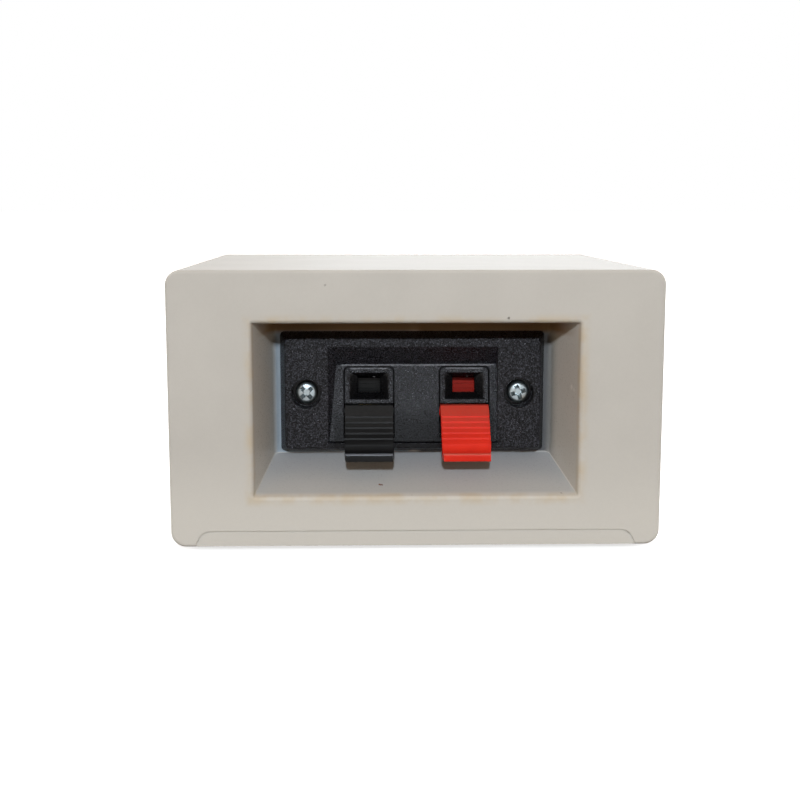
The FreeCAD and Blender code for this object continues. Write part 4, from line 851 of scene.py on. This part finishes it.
def wing(span, width, depth, turn):
    """One wing of a cross driver's tip, narrowing downwards from the origin."""
    form = bmesh.new()
    corners = ((-1, -1), (1, -1), (1, 1), (-1, 1))
    top = [(i * span / 2, k * width / 2, WING_ABOVE * depth) for i, k in corners]
    low = [(x * WING_END_SPAN, y * WING_END_WIDTH, -depth) for x, y, _ in top]
    top = [form.verts.new(spot) for spot in top]
    low = [form.verts.new(spot) for spot in low]
    form.faces.new(top)
    form.faces.new(list(reversed(low)))
    for n in range(4):
        form.faces.new((top[n], low[n], low[(n + 1) % 4], top[(n + 1) % 4]))
    bmesh.ops.rotate(form, verts=form.verts, matrix=Matrix.Rotation(turn, 3, "Z"))
    return form


def screw_profile(radius, head, shank, length):
    """From the point, along the shank, round the head and up to its crown."""
    point = [(shank * POINT_RADIUS, -length), (shank, POINT_LENGTH * shank - length)]
    seat = [(shank, 0.0), (radius, 0.0)]
    rim = []
    for degrees in HEAD_ARC:
        turn = math.radians(degrees)
        across = HEAD_FLAT + (1 - HEAD_FLAT) * math.cos(turn)
        up = HEAD_WALL + HEAD_ROUND * math.sin(turn)
        rim.append((radius * across, head * up))
    crown = [(radius * across, head * up) for across, up in HEAD_CROWN]
    return point + seat + rim + crown


def screw_mesh(radius, head, shank, length):
    """A screw along Z with its head's seat at the origin, and the cross recess cut in it."""
    form = bmesh.new()
    turned(form, screw_profile(radius, head, shank, length))
    body = scratch_object(form, "screw_blank")
    for turn in (0.0, math.pi / 2):
        form = wing(RECESS_SPAN * radius, RECESS_WIDTH * radius, RECESS_SINK * head, turn)
        bmesh.ops.translate(form, verts=form.verts, vec=(0.0, 0.0, head))
        cut = body.modifiers.new("recess", "BOOLEAN")
        cut.object = scratch_object(form, "wing")
        cut.solver = "EXACT"
    seen = body.evaluated_get(bpy.context.evaluated_depsgraph_get())
    form = bmesh.new()
    form.from_mesh(seen.to_mesh())
    bmesh.ops.remove_doubles(form, verts=form.verts, dist=WELD)
    cutters = [cut.object for cut in body.modifiers]
    for thing in [body, *cutters]:
        bpy.data.objects.remove(thing)
    return form


def screws(node, toward, turns):
    """The screws of a CAD node, at the corners of its box, each turned as it was driven."""
    low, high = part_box(node)
    places = [(x, z) for x in (low.x + HEAD_RADIUS, high.x - HEAD_RADIUS)
              for z in (low.z + HEAD_RADIUS, high.z - HEAD_RADIUS)]
    places = sorted(set((round(x, 6), round(z, 6)) for x, z in places))
    seat = low.y + HEAD_HEIGHT if toward < 0 else high.y - HEAD_HEIGHT
    length = high.y - low.y - HEAD_HEIGHT
    every = bmesh.new()
    for (x, z), turn in zip(places, turns):
        form = screw_mesh(HEAD_RADIUS, HEAD_HEIGHT, SHANK_RADIUS, length)
        spin = Matrix.Rotation(math.radians(turn), 4, "Z")
        stand = Matrix.Rotation(-toward * math.pi / 2, 4, "X") @ spin
        form.transform(Matrix.Translation((x, seat, z)) @ stand)
        single = bpy.data.meshes.new("screw")
        form.to_mesh(single)
        form.free()
        every.from_mesh(single)
        bpy.data.meshes.remove(single)
    new_piece(f"{node}_dressed", mesh_from(every, f"{node}_dressed", SCREW_BREAK), node)


screws("terminal_screws", toward=-1, turns=(42, 17))
screws("driver_screws", toward=1, turns=(10, 63, 35, 80))
screws("front_screws", toward=1, turns=(25, 5, 71, 48))


# Studio: pale floor, white surroundings, a small lamp above the camera and large soft ones elsewhere

WHITE = (1.0, 1.0, 1.0, 1.0)
COOL = (0.86, 0.94, 1.0)
FLASH = (0.84, 0.93, 1.0)
BLUISH = (0.6, 0.82, 1.0)
WARM = (1.0, 0.86, 0.67)
WARM_GLOW = (1.0, 0.62, 0.36, 1.0)
GLOW_LEVEL = 0.3
MIDDLE = Vector((0.0, 0.0, TOP_Z / 2))
TERMINAL = Vector((0.0, SEAT_Y, TERMINAL_Z))

# The small lamp shines along the line from a flash this far above the camera, from a distance
FLASH_RISE = Vector((0.0, 0.0, 76 * MM))
FLASH_AWAY = 0.9
FLASH_WAY = (CAMERA_PLACE + FLASH_RISE - TERMINAL).normalized()

# The floor is a plain sheet near the object and shines white by itself further off
FLOOR_RADIUS = 30.0
FLOOR_SEGMENTS = 96
FLOOR_ROUGHNESS = 0.9
NEAR_FLOOR = 0.15
FAR_FLOOR = 0.5
NEAR_LIFT = 0.7
FAR_LIFT = 1.0
FLOOR_PAPER = (0.8, 0.8, 0.8, 1.0)
FLOOR_BOUNCE = (0.12, 0.1, 0.08, 1.0)


def add_camera():
    lens = bpy.data.cameras.new("camera")
    lens.lens = CAMERA_LENS
    lens.sensor_width = CAMERA_SENSOR
    lens.clip_start = 10 * MM
    camera = bpy.data.objects.new("camera", lens)
    camera.location = CAMERA_PLACE
    camera.rotation_euler = CAMERA_TURN
    bpy.context.scene.collection.objects.link(camera)
    bpy.context.scene.camera = camera


def add_lamp(name, place, target, size, level, tint):
    """A square lamp that gives a surface at its target about this share of plain white light."""
    lamp = bpy.data.lights.new(name, "AREA")
    lamp.size = size
    away = target - place
    lamp.energy = level * math.pi ** 2 * away.length_squared
    lamp.color = tint
    holder = bpy.data.objects.new(name, lamp)
    holder.location = place
    holder.rotation_euler = away.to_track_quat("-Z", "Y").to_euler()
    bpy.context.scene.collection.objects.link(holder)


def seen_directly(tree):
    """1 for what the camera, reflections and clear pieces see, and 0 for light that falls on things."""
    path = tree.nodes.new("ShaderNodeLightPath")
    either = path.outputs["Is Camera Ray"]
    for name in ("Is Glossy Ray", "Is Transmission Ray"):
        node = tree.nodes.new("ShaderNodeMath")
        node.operation = "MAXIMUM"
        tree.links.new(either, node.inputs[0])
        tree.links.new(path.outputs[name], node.inputs[1])
        either = node.outputs[0]
    return either


def choose(tree, unseen, seen, output):
    """Shows one shader to what sees it directly, and uses the other for the light that it gives."""
    choice = tree.nodes.new("ShaderNodeMixShader")
    tree.links.new(seen_directly(tree), choice.inputs[0])
    tree.links.new(unseen.outputs[0], choice.inputs[1])
    tree.links.new(seen.outputs[0], choice.inputs[2])
    tree.links.new(choice.outputs[0], tree.nodes[output].inputs["Surface"])


def add_surroundings():
    """White to look at, and a dim warm glow on whatever the lamps leave in shade."""
    world = bpy.data.worlds.new("surroundings")
    bpy.context.scene.world = world
    world.use_nodes = True
    tree = world.node_tree
    glow = tree.nodes["Background"]
    glow.inputs["Color"].default_value = WARM_GLOW
    glow.inputs["Strength"].default_value = GLOW_LEVEL
    white = tree.nodes.new("ShaderNodeBackground")
    white.inputs["Color"].default_value = WHITE
    choose(tree, glow, white, "World Output")


def floor_paper():
    """Pale paper, lifted to white where nothing shades it. It throws little light back."""
    material = bpy.data.materials.new("floor_paper")
    material.use_nodes = True
    tree = material.node_tree
    paper = tree.nodes["Principled BSDF"]
    paper.inputs["Base Color"].default_value = FLOOR_PAPER
    paper.inputs["Roughness"].default_value = FLOOR_ROUGHNESS
    paper.inputs["Specular IOR Level"].default_value = 0.0
    paper.inputs["Emission Color"].default_value = WHITE
    place = tree.nodes.new("ShaderNodeTexCoord")
    distance = tree.nodes.new("ShaderNodeVectorMath")
    distance.operation = "LENGTH"
    tree.links.new(place.outputs["Object"], distance.inputs[0])
    lift = tree.nodes.new("ShaderNodeMapRange")
    for socket, number in zip(lift.inputs[1:5], (NEAR_FLOOR, FAR_FLOOR, NEAR_LIFT, FAR_LIFT)):
        socket.default_value = number
    tree.links.new(distance.outputs["Value"], lift.inputs["Value"])
    tree.links.new(lift.outputs["Result"], paper.inputs["Emission Strength"])
    dull = tree.nodes.new("ShaderNodeBsdfDiffuse")
    dull.inputs["Color"].default_value = FLOOR_BOUNCE
    choose(tree, dull, paper, "Material Output")
    return material


def add_floor():
    form = bmesh.new()
    bmesh.ops.create_circle(form, cap_ends=True, segments=FLOOR_SEGMENTS, radius=FLOOR_RADIUS)
    mesh = bpy.data.meshes.new("floor")
    form.to_mesh(mesh)
    form.free()
    mesh.materials.append(floor_paper())
    floor = bpy.data.objects.new("floor", mesh)
    bpy.context.scene.collection.objects.link(floor)


add_camera()
add_lamp("flash", TERMINAL + FLASH_WAY * FLASH_AWAY, TERMINAL, size=0.05, level=0.74, tint=FLASH)
add_lamp("window", Vector((0.95, SEAT_Y - 1.2, 0.25)), TERMINAL, size=0.2, level=0.02, tint=BLUISH)
add_lamp("left_fill", Vector((-0.75, SEAT_Y - 0.75, 0.2)), TERMINAL, size=0.4, level=0.126, tint=WARM)
add_lamp("right_fill", Vector((0.75, SEAT_Y - 0.75, 0.2)), TERMINAL, size=0.4, level=0.106, tint=WARM)
add_lamp("front_softbox", Vector((0.25, 0.75, 0.5)), MIDDLE, size=0.8, level=0.62, tint=COOL)
add_lamp("left_softbox", Vector((-0.8, 0.3, 0.4)), MIDDLE, size=0.8, level=0.52, tint=COOL)
add_lamp("right_softbox", Vector((0.8, 0.3, 0.4)), MIDDLE, size=0.8, level=0.58, tint=COOL)
add_surroundings()
add_floor()
bpy.context.scene.view_settings.view_transform = "Standard"
